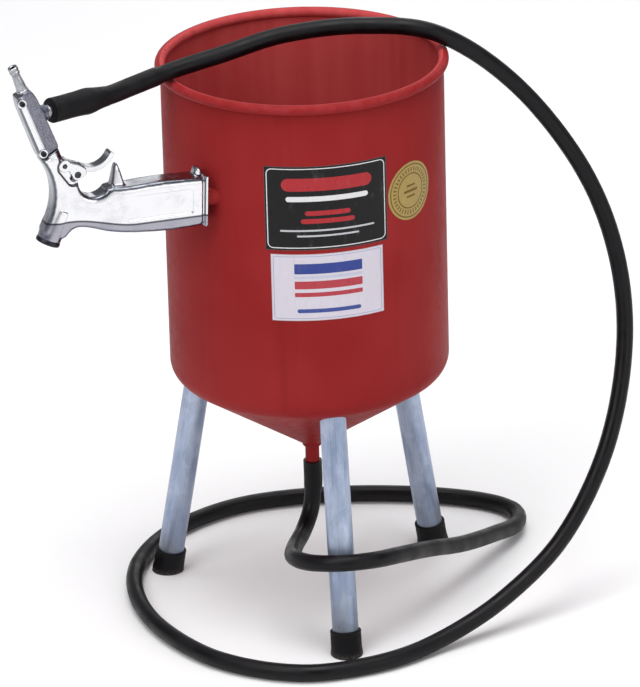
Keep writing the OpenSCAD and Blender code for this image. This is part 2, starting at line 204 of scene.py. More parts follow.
def turn(name: str, section: Outline, place: Matrix, steps: int = 64,
         closed: bool = True, bevel: float = 0.25) -> Piece:
    """Turns a section about the z axis, as on a lathe.

    Args:
        name: The piece's name.
        section: Radius and height of each corner, in millimetres.
        place: The frame whose z axis the piece is turned about.
        steps: How many steps the turn has.
        closed: Whether the section is a closed loop, as for a ring or a tube.
        bevel: The rounding of its sharp edges, in millimetres.

    Returns:
        The finished piece, in place.
    """
    corners = [Vector((r, 0, z)) * MM for r, z in section]
    piece = draw(name, corners + ([corners[0]] if closed else []))
    edit_all(SAME_POINT)
    bpy.ops.mesh.select_all(action="SELECT")
    bpy.ops.mesh.spin(steps=steps, angle=2 * math.pi, center=(0, 0, 0), axis=(0, 0, 1))
    bpy.ops.mesh.select_all(action="SELECT")
    bpy.ops.mesh.remove_doubles(threshold=SAME_POINT * MM)
    turn_outwards()
    finish_edges(piece, bevel)
    settle(piece, place)
    return piece


def plate(name: str, outline: Outline, half: float, bevel: float,
          keep_left_of: float | None = None) -> Piece:
    """Cuts a plate to an outline in the x-y plane and rounds its two faces' borders.

    Args:
        name: The piece's name.
        outline: The corners, in millimetres.
        half: Half the plate's thickness, in millimetres.
        bevel: The rounding of the borders, in millimetres; 0 for none.
        keep_left_of: Borders that lie wholly at an x below this stay sharp.

    Returns:
        The plate, in its own drawing frame.
    """
    piece = draw(name, [Vector((x, y, -half)) * MM for x, y in outline], closed=True)
    edit_all()
    bpy.ops.mesh.extrude_region_move(
        TRANSFORM_OT_translate={"value": (0, 0, 2 * half * MM)})
    bpy.ops.mesh.select_all(action="SELECT")
    bpy.ops.mesh.normals_make_consistent(inside=False)
    if bevel:
        bpy.ops.mesh.select_all(action="DESELECT")
        bpy.ops.object.mode_set(mode="OBJECT")
        points = piece.data.vertices
        for edge in piece.data.edges:
            a, b = (points[i].co for i in edge.vertices)
            flat = abs(a.z - b.z) < 0.01 * MM
            end = keep_left_of is not None and max(a.x, b.x) < keep_left_of * MM
            edge.select = flat and not end
        bpy.ops.object.mode_set(mode="EDIT")
        bpy.ops.mesh.select_mode(type="EDGE")
        bpy.ops.mesh.bevel(offset=bevel * MM, segments=5, profile=0.5, clamp_overlap=False)
        bpy.ops.mesh.select_mode(type="VERT")
    bpy.ops.object.mode_set(mode="OBJECT")
    return piece


def tube(name: str, line: list[Vector], radius: float, resolution: int,
         swell: list[float] | None = None) -> Piece:
    """Runs a round tube with closed ends along a line.

    Args:
        name: The piece's name.
        line: The points of its centreline, in metres.
        radius: The tube's radius, in millimetres.
        resolution: How finely its section is divided.
        swell: What the radius is multiplied by at each point, if it isn't even.

    Returns:
        The tube as a mesh, in object mode.
    """
    curve = bpy.data.curves.new(name, "CURVE")
    curve.dimensions = "3D"
    curve.twist_mode = "MINIMUM"
    curve.bevel_depth = radius * MM
    curve.bevel_resolution = resolution
    curve.use_fill_caps = True
    spline = curve.splines.new("POLY")
    spline.points.add(len(line) - 1)
    for index, (point, place) in enumerate(zip(spline.points, line)):
        point.co = (*place, 1)
        point.radius = swell[index] if swell else 1.0
    piece = bpy.data.objects.new(name, curve)
    bpy.context.collection.objects.link(piece)
    pick(piece)
    bpy.ops.object.convert(target="MESH")
    piece = bpy.context.object
    piece.name = piece.data.name = name
    return piece


def share(value: float) -> float:
    """Returns a value held between 0 and 1."""
    return max(0.0, min(1.0, value))


def arc(x: float, y: float, radius: float, angles: range) -> Outline:
    """Returns points on a circle about x, y, one for each angle in degrees."""
    return [(x + radius * math.cos(math.radians(a)), y + radius * math.sin(math.radians(a)))
            for a in angles]


def around(circles: list[tuple[float, float, float]]) -> Outline:
    """Returns the outline of a belt around circles, each given as x, y and radius."""
    points = [Vector((x + r * math.cos(k * math.pi / 16), y + r * math.sin(k * math.pi / 16)))
              for x, y, r in circles for k in range(32)]
    return [tuple(points[i]) for i in geometry.convex_hull_2d(points)]


def rod(name: str, radius: float, low: float, high: float, place: Matrix) -> Piece:
    """Adds a round bar along a frame's z axis, for joining to or cutting from a casting.

    Args:
        name: The bar's name.
        radius: Its radius, in millimetres.
        low: Where it starts on the axis, in millimetres.
        high: Where it ends on the axis, in millimetres.
        place: The frame.

    Returns:
        The bar, in place.
    """
    deselect()
    bpy.ops.mesh.primitive_cylinder_add(
        vertices=64, radius=radius * MM, depth=(high - low) * MM,
        location=(0, 0, (low + high) / 2 * MM))
    piece = bpy.context.object
    piece.name = name
    settle(piece, place @ piece.matrix_world)
    return piece


def join(pieces: list[Piece]) -> Piece:
    """Joins pieces into one.

    Args:
        pieces: The pieces; the first one takes in the others.

    Returns:
        The first piece.
    """
    pick(pieces[0])
    for piece in pieces[1:]:
        piece.select_set(True)
    bpy.ops.object.join()
    return pieces[0]


def cast(piece: Piece, grain: float, cutters: list[Piece],
         passes: int) -> None:
    """Fuses overlapping shapes into one casting, bores it and softens its edges.

    Args:
        piece: The joined shapes.
        grain: The size of the mesh's cells, in millimetres.
        cutters: Shapes that are cut away; they are deleted afterwards.
        passes: How often the surface is smoothed.
    """
    pick(piece)
    for label in ("fuse", "even"):
        fused = piece.modifiers.new(label, "REMESH")
        fused.mode = "VOXEL"
        fused.voxel_size = grain * MM
        bpy.ops.object.modifier_apply(modifier=label)
        if label == "fuse":
            for cutter in cutters:
                cut = piece.modifiers.new("bore", "BOOLEAN")
                cut.operation = "DIFFERENCE"
                cut.solver = "EXACT"
                cut.object = cutter
                bpy.ops.object.modifier_apply(modifier="bore")
            if not cutters:
                break
    soft = piece.modifiers.new("soft", "SMOOTH")
    soft.factor = 0.5
    soft.iterations = passes
    bpy.ops.object.modifier_apply(modifier="soft")
    for cutter in cutters:
        bpy.data.objects.remove(cutter)
    bpy.ops.object.shade_smooth()


# --------------------------------------------------------------------------- finishes


def linear(colour: str) -> tuple[float, float, float, float]:
    """Turns an sRGB hex colour such as #8E2A2D into linear red, green, blue and alpha."""
    parts = [int(colour[i:i + 2], 16) / 255 for i in (1, 3, 5)]
    return (*[c / 12.92 if c <= 0.04045 else ((c + 0.055) / 1.055) ** 2.4 for c in parts], 1.0)


def per_mm(size: float) -> float:
    """Returns the texture scale whose pattern repeats every size millimetres."""
    return 1 / (size * MM)


Socket = bpy.types.NodeSocket
Tree = bpy.types.NodeTree


def add(tree: Tree, kind: str, values: dict | None = None, **settings: object) -> bpy.types.Node:
    """Adds a node with its settings, its values and its links.

    Args:
        tree: The node tree.
        kind: The node's type, without its ShaderNode prefix.
        values: Input name or number, to a value or to the socket that feeds it.
        **settings: The node's own properties.

    Returns:
        The node.
    """
    node = tree.nodes.new("ShaderNode" + kind)
    for key, value in settings.items():
        setattr(node, key, value)
    for key, value in (values or {}).items():
        if isinstance(value, Socket):
            tree.links.new(value, node.inputs[key])
        else:
            node.inputs[key].default_value = value
    return node


@dataclass(frozen=True)
class Finish:
    """What every finish shares: its name and its pattern's frame.

    Attributes:
        name: The material's name.
        place: The frame that its pattern is drawn in.
    """

    name: str
    place: Matrix

    def coordinates(self, tree: Tree, stretch: tuple[float, float, float] = (1, 1, 1)) -> Socket:
        """Finds the place on the object in the pattern's own frame.

        Args:
            tree: The node tree.
            stretch: What the pattern is scaled by along each axis.

        Returns:
            The coordinates' socket.
        """
        back = self.place.inverted()
        source = add(tree, "TexCoord").outputs["Object"]
        local = add(tree, "Mapping", {
            "Vector": source, "Location": back.to_translation(),
            "Rotation": back.to_euler("XYZ")}, vector_type="POINT").outputs[0]
        if stretch == (1, 1, 1):
            return local
        return add(tree, "Mapping", {"Vector": local, "Scale": stretch}).outputs[0]

    @staticmethod
    def mask(tree: Tree, value: Socket, low: float, high: float, top: float = 1.0) -> Socket:
        """Returns a value that rises from 0 to top as another goes from low to high."""
        return add(tree, "MapRange", {
            "Value": value, "From Min": low, "From Max": high, "To Min": 0.0, "To Max": top,
        }, interpolation_type="SMOOTHSTEP").outputs[0]

    @staticmethod
    def grain(tree: Tree, where: Socket, size: float, detail: float = 3.0) -> Socket:
        """Returns a noise whose lumps are about size millimetres."""
        return add(tree, "TexNoise", {
            "Vector": where, "Scale": per_mm(size), "Detail": detail}).outputs["Fac"]

    @staticmethod
    def blend(tree: Tree, factor: Socket | float, a: Socket | str, b: Socket | str) -> Socket:
        """Turns one colour into another.

        Args:
            tree: The node tree.
            factor: How far the turn has gone, from 0 to 1.
            a: The first colour, as a socket or in hex.
            b: The second colour, as a socket or in hex.

        Returns:
            The colour's socket.
        """
        node = add(tree, "Mix", {"Factor": factor}, data_type="RGBA")
        for key, value in ((6, a), (7, b)):
            if isinstance(value, str):
                node.inputs[key].default_value = linear(value)
            else:
                tree.links.new(value, node.inputs[key])
        return node.outputs[2]

    @staticmethod
    def sums(tree: Tree, operation: str, a: Socket | float, b: Socket | float = 0.0) -> Socket:
        """Returns the result of one Math operation."""
        return add(tree, "Math", {0: a, 1: b}, operation=operation).outputs[0]

    def bump(self, tree: Tree, heights: list[tuple[Socket, float]]) -> Socket:
        """Stacks bumps and returns the normal.

        Args:
            tree: The node tree.
            heights: Each height, from 0 to 1, and how high it stands in millimetres.

        Returns:
            The normal's socket.
        """
        normal: Socket | None = None
        for height, rise in heights:
            values = {"Height": height, "Distance": rise * MM, "Strength": 1.0}
            if normal:
                values["Normal"] = normal
            normal = add(tree, "Bump", values).outputs[0]
        return normal

    def start(self) -> tuple[bpy.types.Material, Tree, bpy.types.Node]:
        """Makes the material and returns it with its tree and its shader."""
        material = bpy.data.materials.new(self.name)
        material.use_nodes = True
        tree = material.node_tree
        return material, tree, tree.nodes["Principled BSDF"]

    @staticmethod
    def feed(tree: Tree, shader: bpy.types.Node, **values: Socket | float) -> None:
        """Sets the shader's inputs.

        Args:
            tree: The node tree.
            shader: The shader.
            **values: Each input's value or the socket that feeds it, by its name.
        """
        for key, value in values.items():
            socket = shader.inputs[key.replace("_", " ").title().replace("Ior", "IOR")]
            if isinstance(value, Socket):
                tree.links.new(value, socket)
            else:
                socket.default_value = value


@dataclass(frozen=True)
class RedEnamel(Finish):
    """Sprayed and baked enamel on sheet steel: semi-gloss, with a fine orange peel.

    It is scoured dull by sand on the inside, where its colour is also painted lighter as painted
    light on the shaded inner wall, and a purplish painted highlight runs along the rolled rim.

    Attributes:
        painted_rim_highlight: Heights between which the purplish painted highlight along the rim
            fades in, in metres.
        rim_chips: Heights between which chips start below the rim, in metres.
        cone_chips: Heights between which chips start above the spout, in metres.
    """

    body: str = "#862021"
    light: str = "#8F2829"
    dark: str = "#751A1C"
    # The colour of the purplish painted highlight along the rim
    rim: str = "#A03A40"
    # Painted light: lighter reds that brighten the shaded inner wall; the second also tints the
    # sand-scoured streaks, so it is part dust, part painted light
    painted_lit_inside: str = "#B24142"
    dust: str = "#BE5150"
    painted_rim_highlight: tuple[float, float] = (0.5515, 0.558)
    rim_chips: tuple[float, float] = (0.548, 0.556)
    cone_chips: tuple[float, float] = (0.2, 0.17)

    def make(self) -> bpy.types.Material:
        """Builds the material."""
        material, tree, shader = self.start()
        where = self.coordinates(tree)
        cloud = self.grain(tree, where, 130, 2)
        fine = self.grain(tree, where, 9, 4)
        streak = self.grain(tree, self.coordinates(tree, (1, 1, 0.06)), 16, 3)
        colour = self.blend(tree, self.mask(tree, cloud, 0.35, 0.7), self.body, self.light)
        colour = self.blend(tree, self.mask(tree, streak, 0.5, 0.85, 0.35), colour, self.dark)
        spots = add(tree, "SeparateXYZ", {0: where})
        height = spots.outputs["Z"]
        outward = add(tree, "VectorMath", {
            0: add(tree, "NewGeometry").outputs["Normal"],
            1: add(tree, "CombineXYZ", {
                "X": spots.outputs["X"], "Y": spots.outputs["Y"]}).outputs[0],
        }, operation="DOT_PRODUCT").outputs["Value"]
        inside = self.mask(tree, outward, 0.0, -0.02)
        # Painted light: the whole inner wall is turned a lighter red, so that it does not read as
        # shaded
        colour = self.blend(tree, inside, colour, self.painted_lit_inside)
        # Sand-scoured streaks inside, lightened further: part real scouring, part painted light
        scour_and_painted_light = self.sums(tree, "MULTIPLY", inside, self.mask(tree, streak, 0.3, 0.7, 0.5))
        colour = self.blend(tree, scour_and_painted_light, colour, self.dust)
        # Painted highlight: a lighter, purplish band along the top of the rolled rim, broken up by
        # noise
        edge = self.sums(tree, "MULTIPLY", self.mask(tree, height, *self.painted_rim_highlight),
                         self.mask(tree, fine, 0.35, 0.7, 0.35))
        colour = self.blend(tree, edge, colour, self.rim)
        chip_field = self.grain(tree, where, 3.4, 2)
        near_edge = self.sums(tree, "MAXIMUM", self.mask(tree, height, *self.rim_chips),
                              self.mask(tree, height, *self.cone_chips, 0.8))
        chips = self.sums(tree, "MULTIPLY", near_edge, self.mask(tree, chip_field, 0.69, 0.72))
        colour = self.blend(tree, chips, colour, "#4A3A3A")
        rough = self.sums(tree, "ADD", self.mask(tree, fine, 0.3, 0.8, 0.12), 0.4)
        rough = self.sums(tree, "ADD", rough, self.sums(tree, "MULTIPLY", inside, 0.22))
        peel = self.grain(tree, where, 1.6, 1)
        wave = self.grain(tree, self.coordinates(tree, (1, 1, 0.35)), 60, 1)
        normal = self.bump(tree, [(wave, 0.5), (peel, 0.02), (chips, -0.06)])
        self.feed(tree, shader, base_color=colour, roughness=rough, normal=normal,
                  specular_ior_level=0.05)
        return material


@dataclass(frozen=True)
class GalvanisedTube(Finish):
    """Zinc-coated steel tube: a dull bluish metal with drawn lines and faint spangle.

    Attributes:
        grime_ends: Distances up the tube where the grime stops and is full, in metres.
    """

    body: str = "#98A6BF"
    light: str = "#B9C4D8"
    dark: str = "#6C7892"
    grime: str = "#5E5F60"
    grime_ends: tuple[float, float] = (0.075, 0.025)

    def make(self) -> bpy.types.Material:
        """Builds the material."""
        material, tree, shader = self.start()
        where = self.coordinates(tree)
        drawn = self.grain(tree, self.coordinates(tree, (1, 1, 0.015)), 1.1, 2)
        blotch = self.grain(tree, self.coordinates(tree, (1, 1, 0.3)), 14, 3)
        spangle = add(tree, "TexVoronoi", {
            "Vector": self.coordinates(tree, (1, 1, 0.7)), "Scale": per_mm(7)}).outputs["Color"]
        fleck = add(tree, "SeparateColor", {0: spangle}).outputs[0]
        colour = self.blend(tree, self.mask(tree, blotch, 0.35, 0.65), self.body, self.light)
        colour = self.blend(tree, self.mask(tree, fleck, 0.0, 1.0, 0.22), colour, self.dark)
        colour = self.blend(tree, self.mask(tree, drawn, 0.5, 0.8, 0.5), colour, self.dark)
        height = add(tree, "SeparateXYZ", {0: where}).outputs["Z"]
        low = self.sums(tree, "MULTIPLY", self.mask(tree, height, *self.grime_ends),
                        self.mask(tree, blotch, 0.25, 0.6, 0.6))
        colour = self.blend(tree, low, colour, self.grime)
        rough = self.sums(tree, "ADD", self.mask(tree, blotch, 0.3, 0.7, 0.16), 0.36)
        normal = self.bump(tree, [(drawn, 0.03), (blotch, 0.05)])
        self.feed(tree, shader, base_color=colour, metallic=0.85, roughness=rough, normal=normal)
        return material


@dataclass(frozen=True)
class PolishedCasting(Finish):
    """Aluminium casting with belt-polished flats: bright faces, edged by bands of painted shade and
    painted reflection.

    Attributes:
        rough_from: Local y, in millimetres, past which the cast skin was left unpolished.
        painted_shade_band: Whether a painted dark line runs along the grip, with a greyer band of
            painted shade below it where the side rounds to the underside.
        painted_band_run: Where the line starts and stops rising, in metres along x.
        painted_band_low: How far below the axis it runs before that, in metres.
        painted_band_rise: How far it rises, in metres.
    """

    body: str = "#E8E8EA"
    dark: str = "#A9ACB3"
    skin: str = "#787A8A"
    gloss: float = 0.17
    rough_from: float | None = None
    painted_shade_band: bool = False
    painted_band_run: tuple[float, float] = (0.072, 0.138)
    painted_band_low: float = 0.013
    painted_band_rise: float = 0.0096

    def make(self) -> bpy.types.Material:
        """Builds the material."""
        material, tree, shader = self.start()
        where = self.coordinates(tree)
        cloud = self.grain(tree, where, 16, 3)
        buff = self.grain(tree, self.coordinates(tree, (0.05, 1, 1)), 1.4, 2)
        pore = self.grain(tree, where, 1.5, 2)
        facing = self.sums(tree, "ABSOLUTE", add(tree, "VectorMath", {
            0: add(tree, "TexCoord").outputs["Normal"],
            1: self.place.to_3x3() @ Vector((0, 0, 1)),
        }, operation="DOT_PRODUCT").outputs["Value"])
        # Painted shade and painted reflection: the colour darkens in bands as the surface turns
        # from the flat faces, standing in for the dark rounded edges of the casting
        border = add(tree, "ValToRGB", {0: facing})
        stops = border.color_ramp.elements
        stops[0].position, stops[0].color = 0.0, linear("#A3A5AB")
        stops[1].position, stops[1].color = 1.0, linear(self.body)
        for position, tone in ((0.5, "#80838B"), (0.78, "#45484F"), (0.9, "#8E9197"),
                               (0.955, self.body)):
            stops.new(position).color = linear(tone)
        colour = self.blend(tree, self.mask(tree, cloud, 0.5, 0.8, 0.25), border.outputs[0],
                            self.dark)
        rough = self.sums(tree, "ADD", self.mask(tree, cloud, 0.35, 0.7, 0.12), self.gloss)
        pits = self.mask(tree, pore, 0.66, 0.74)
        heights = [(cloud, 0.05), (buff, 0.008), (pits, -0.05)]
        if self.painted_shade_band:
            # Painted shade: a dark line along the grip, and a greyer band of painted shade below
            # it, where the side face rounds over to the underside
            spots = add(tree, "SeparateXYZ", {0: where}).outputs
            rise = self.mask(tree, spots["X"], *self.painted_band_run, self.painted_band_rise)
            above = self.sums(tree, "ADD", self.sums(tree, "SUBTRACT", spots["Y"], rise),
                              self.painted_band_low)
            low = self.mask(tree, above, 0.0004, -0.0006, 0.72)
            line = self.mask(tree, self.sums(tree, "ABSOLUTE", above), 0.0014, 0.0004, 0.9)
            colour = self.blend(tree, low, colour, "#7B7A8B")
            colour = self.blend(tree, line, colour, "#2E3038")
        if self.rough_from is not None:
            across = add(tree, "SeparateXYZ", {0: where}).outputs["Y"]
            raw = self.mask(tree, across, self.rough_from * MM, (self.rough_from + 1) * MM)
            speck = self.grain(tree, where, 1.3, 4)
            tone = self.blend(tree, self.mask(tree, speck, 0.42, 0.62), self.skin, "#3C3E52")
            colour = self.blend(tree, self.sums(tree, "MULTIPLY", raw, 0.85), colour, tone)
            rough = self.sums(tree, "ADD", rough, self.sums(tree, "MULTIPLY", raw, 0.22))
            heights.append((self.sums(tree, "MULTIPLY", raw, speck), 0.25))
        self.feed(tree, shader, base_color=colour, metallic=1.0, roughness=rough,
                  normal=self.bump(tree, heights))
        return material


@dataclass(frozen=True)
class TurnedMetal(Finish):
    """Metal turned on a lathe: fine rings round the axis, drawn coarse enough to show."""

    body: str = "#C8CBCF"
    dark: str = "#8F9499"
    pitch: float = 0.6
    gloss: float = 0.2

    def make(self) -> bpy.types.Material:
        """Builds the material."""
        material, tree, shader = self.start()
        where = self.coordinates(tree)
        ring = add(tree, "TexWave", {
            "Vector": where, "Scale": per_mm(self.pitch) / 20, "Distortion": 0.6,
            "Detail": 2.0}, bands_direction="Z").outputs["Fac"]
        smear = self.grain(tree, where, 5, 3)
        colour = self.blend(tree, self.mask(tree, smear, 0.4, 0.75, 0.5), self.body, self.dark)
        rough = self.sums(tree, "ADD", self.mask(tree, smear, 0.3, 0.7, 0.16), self.gloss)
        self.feed(tree, shader, base_color=colour, metallic=1.0, roughness=rough,
                  normal=self.bump(tree, [(ring, 0.015), (smear, 0.02)]))
        return material


@dataclass(frozen=True)
class BlackRubber(Finish):
    """Moulded black rubber: satin, faintly pitted, with pale scuffs and dust near the floor."""

    body: str = "#070609"
    worn: str = "#121116"
    dust: str = "#55514B"
    gloss: float = 0.42
    dust_top: float = 6.0
    lump: float = 22.0

    def make(self) -> bpy.types.Material:
        """Builds the material."""
        material, tree, shader = self.start()
        where = self.coordinates(tree)
        cloud = self.grain(tree, where, self.lump, 3)
        speck = self.grain(tree, where, 1.4, 3)
        colour = self.blend(tree, self.mask(tree, cloud, 0.45, 0.8, 0.8), self.body, self.worn)
        up = add(tree, "SeparateXYZ", {
            0: add(tree, "TexCoord").outputs["Object"]}).outputs["Z"]
        low = self.sums(tree, "MULTIPLY", self.mask(tree, up, self.dust_top * MM, 0.0),
                        self.mask(tree, speck, 0.35, 0.65, 0.7))
        colour = self.blend(tree, low, colour, self.dust)
        rough = self.sums(tree, "ADD", self.mask(tree, cloud, 0.3, 0.7, 0.2), self.gloss)
        self.feed(tree, shader, base_color=colour, roughness=rough, specular_ior_level=0.22,
                  normal=self.bump(tree, [(cloud, 0.15), (speck, 0.04)]))
        return material


class Art(Enum):
    """The plain printed designs on the three vinyl labels."""

    DARK_PANEL = "dark panel"
    PALE_PANEL = "pale panel"
    GOLD_SEAL = "gold seal"


@dataclass(frozen=True)
class PrintedVinyl(Finish):
    """Printed and clear-coated vinyl, wrapped round the hopper.

    Attributes:
        art: The design.
        middle: The label's centre: degrees to the right of the front, and height in mm.
        size: Its width along the wall and its height, in millimetres.
        wall: The radius that it is wrapped at, in millimetres.
    """

    art: Art = Art.DARK_PANEL
    middle: tuple[float, float] = (0.0, 0.0)
    size: tuple[float, float] = (100.0, 80.0)
    wall: float = 136.3

    def flat(self, tree: Tree) -> tuple[Socket, Socket]:
        """Unrolls the label.

        Args:
            tree: The node tree.

        Returns:
            The places across and up the label, in millimetres from its middle.
        """
        spots = add(tree, "SeparateXYZ", {0: self.coordinates(tree)})
        angle = self.sums(tree, "ARCTAN2", spots.outputs["X"],
                          self.sums(tree, "MULTIPLY", spots.outputs["Y"], -1.0))
        across = self.sums(tree, "MULTIPLY", self.sums(
            tree, "SUBTRACT", angle, math.radians(self.middle[0])), self.wall)
        up = self.sums(tree, "SUBTRACT", self.sums(
            tree, "MULTIPLY", spots.outputs["Z"], 1 / MM), self.middle[1])
        return across, up

    def inside(self, tree: Tree, u: Socket, v: Socket, centre: tuple[float, float],
               half: tuple[float, float], corner: float) -> Socket:
        """Measures how far a place is from a rounded panel's border.

        Args:
            tree: The node tree.
            u: The place across the label, in millimetres.
            v: The place up the label.
            centre: The panel's centre.
            half: Half the panel's width and height.
            corner: The radius of its corners.

        Returns:
            The distance in millimetres, negative inside.
        """
        reach = []
        for value, middle, size in ((u, centre[0], half[0]), (v, centre[1], half[1])):
            offset = self.sums(tree, "ABSOLUTE", self.sums(tree, "SUBTRACT", value, middle))
            reach.append(self.sums(tree, "SUBTRACT", offset, size - corner))
        sides = [self.sums(tree, "MAXIMUM", r, 0.0) for r in reach]
        diagonal = self.sums(tree, "SQRT", self.sums(
            tree, "ADD", self.sums(tree, "MULTIPLY", sides[0], sides[0]),
            self.sums(tree, "MULTIPLY", sides[1], sides[1])))
        depth = self.sums(tree, "MINIMUM", self.sums(tree, "MAXIMUM", reach[0], reach[1]), 0.0)
        return self.sums(tree, "SUBTRACT", self.sums(tree, "ADD", diagonal, depth), corner)

    def panel(self, tree: Tree, colour: Socket | str, u: Socket, v: Socket, ink: str,
              centre: tuple[float, float], half: tuple[float, float],
              corner: float) -> Socket:
        """Prints one rounded panel over a colour."""
        edge = self.inside(tree, u, v, centre, half, corner)
        return self.blend(tree, self.mask(tree, edge, 0.12, -0.12), colour, ink)

    def bars(self, tree: Tree, colour: Socket, u: Socket, v: Socket,
             rows: tuple[tuple[str, float, float, float, float], ...]) -> Socket:
        """Prints bars over the middle of a colour.

        Args:
            tree: The node tree.
            colour: The colour under them.
            u: The place across the label, in millimetres.
            v: The place up the label.
            rows: Each bar's ink, height, half width, half height and corner radius.

        Returns:
            The printed colour.
        """
        for ink, height, across, up, corner in rows:
            colour = self.panel(tree, colour, u, v, ink, (0, height), (across, up), corner)
        return colour

    def line(self, tree: Tree, colour: Socket | str, u: Socket, v: Socket, ink: str,
             half: tuple[float, float], corner: float, width: float) -> Socket:
        """Prints a rounded border line over a colour."""
        edge = self.inside(tree, u, v, (0, 0), half, corner)
        near = self.sums(tree, "SUBTRACT", self.sums(tree, "ABSOLUTE", edge), width / 2)
        return self.blend(tree, self.mask(tree, near, 0.12, -0.12), colour, ink)

    def print(self, tree: Tree, u: Socket, v: Socket) -> Socket:
        """Prints the label's design.

        Args:
            tree: The node tree.
            u: The place across the label, in millimetres.
            v: The place up the label, in millimetres.

        Returns:
            The printed colour.
        """
        wide, tall = self.size[0] / 2, self.size[1] / 2
        if self.art is Art.DARK_PANEL:
            colour = self.line(tree, "#08070A", u, v, "#D9D6D8", (wide - 2.6, tall - 2.6), 5, 0.9)
            return self.bars(tree, colour, u, v, (
                ("#A3262C", 24, 44, 6.5, 6.5), ("#D6D4D6", 9.5, 40, 2.6, 2.6),
                ("#A3262C", -5, 22, 2.4, 2.4), ("#A3262C", -13, 26, 2.4, 2.4),
                ("#B9B8BC", -22.5, 46, 0.9, 0.9), ("#B9B8BC", -28, 30, 0.9, 0.9)))
        if self.art is Art.PALE_PANEL:
            colour = self.line(tree, "#C9C4CE", u, v, "#8E93B4", (wide - 2.4, tall - 2.4), 2, 0.6)
            return self.bars(tree, colour, u, v, (
                ("#2F3F86", 19, 33, 5.2, 0.8), ("#B8B9CC", 10.2, 33, 1.4, 0.6),
                ("#A93A44", 2.4, 33, 4.0, 0.8), ("#A93A44", -7.4, 33, 2.2, 0.8),
                ("#3A4A8C", -24, 31, 2.0, 2.0)))
        radius = self.sums(tree, "SQRT", self.sums(
            tree, "ADD", self.sums(tree, "MULTIPLY", u, u), self.sums(tree, "MULTIPLY", v, v)))
        spoke = self.sums(tree, "SINE", self.sums(
            tree, "MULTIPLY", self.sums(tree, "ARCTAN2", u, v), 36.0))
        teeth = self.sums(tree, "MULTIPLY", self.mask(tree, spoke, 0.1, 0.5),
                          self.sums(tree, "MULTIPLY", self.mask(tree, radius, 19.2, 19.6),
                                    self.mask(tree, radius, 23.6, 23.2)))
        colour = self.blend(tree, teeth, "#A18A50", "#6A5424")
        for ring, width in ((26.2, 0.5), (17.2, 0.5)):
            near = self.sums(tree, "ABSOLUTE", self.sums(tree, "SUBTRACT", radius, ring))
            colour = self.blend(tree, self.mask(tree, near, width + 0.2, width - 0.1), colour,
                                "#5F430C")
        return self.bars(tree, colour, u, v, (
            ("#6B4C10", 0, 9.5, 1.3, 1.3), ("#6B4C10", 5.4, 6.0, 1.0, 1.0),
            ("#6B4C10", -5.4, 6.0, 1.0, 1.0)))

    def make(self) -> bpy.types.Material:
        """Builds the material."""
        material, tree, shader = self.start()
        where = self.coordinates(tree)
        u, v = self.flat(tree)
        colour = self.print(tree, u, v)
        scuff = self.grain(tree, self.coordinates(tree, (1, 1, 0.4)), 7, 4)
        ink = self.mask(tree, scuff, 0.58, 0.8, 0.12)
        colour = self.blend(tree, ink, colour, "#8C8686")
        edge = self.inside(tree, u, v, (0, 0), (self.size[0] / 2, self.size[1] / 2), 1)
        if self.art is not Art.GOLD_SEAL:
            colour = self.blend(tree, self.mask(tree, edge, -0.9, -0.3, 0.35), colour, "#8C6A68")
        rough = self.sums(tree, "ADD", self.mask(tree, scuff, 0.35, 0.7, 0.14), 0.26)
        ripple = self.grain(tree, where, 18, 2)
        self.feed(tree, shader, base_color=colour, roughness=rough, specular_ior_level=0.25,
                  metallic=0.35 if self.art is Art.GOLD_SEAL else 0.0,
                  normal=self.bump(tree, [(ripple, 0.06), (scuff, 0.01)]))
        return material


# --------------------------------------------------------------------------- pieces


def show(piece: Piece, finish: bpy.types.Material, body: str, slot: str,
         *stands_for: str) -> Piece:
    """Gives a piece its finish and its body, and reports it.

    Args:
        piece: The piece.
        finish: Its material.
        body: The CAD body that it rides on.
        slot: The material slot's name; not used.
        *stands_for: The CAD nodes that it replaces.

    Returns:
        The piece.
    """
    piece.data.materials.clear()
    piece.data.materials.append(finish)
    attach(piece, body)
    if stands_for:
        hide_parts(*stands_for)
    LOG.info("%s: %d faces on %s", piece.name, len(getattr(piece.data, "polygons", ())), body)
    return piece


def dress(nodes: dict[str, Piece], finish: bpy.types.Material, *names: str) -> None:
    """Gives CAD nodes a finish in place of their plain one.

    Args:
        nodes: The frame's CAD nodes, by name.
        finish: The material.
        *names: The nodes that get it.
    """
    for name in names:
        node = nodes[name]
        if not node.data.materials:
            node.data.materials.append(finish)
        for index in range(len(node.data.materials)):
            node.data.materials[index] = finish
        LOG.info("%s: kept, in %s", name, finish.name)


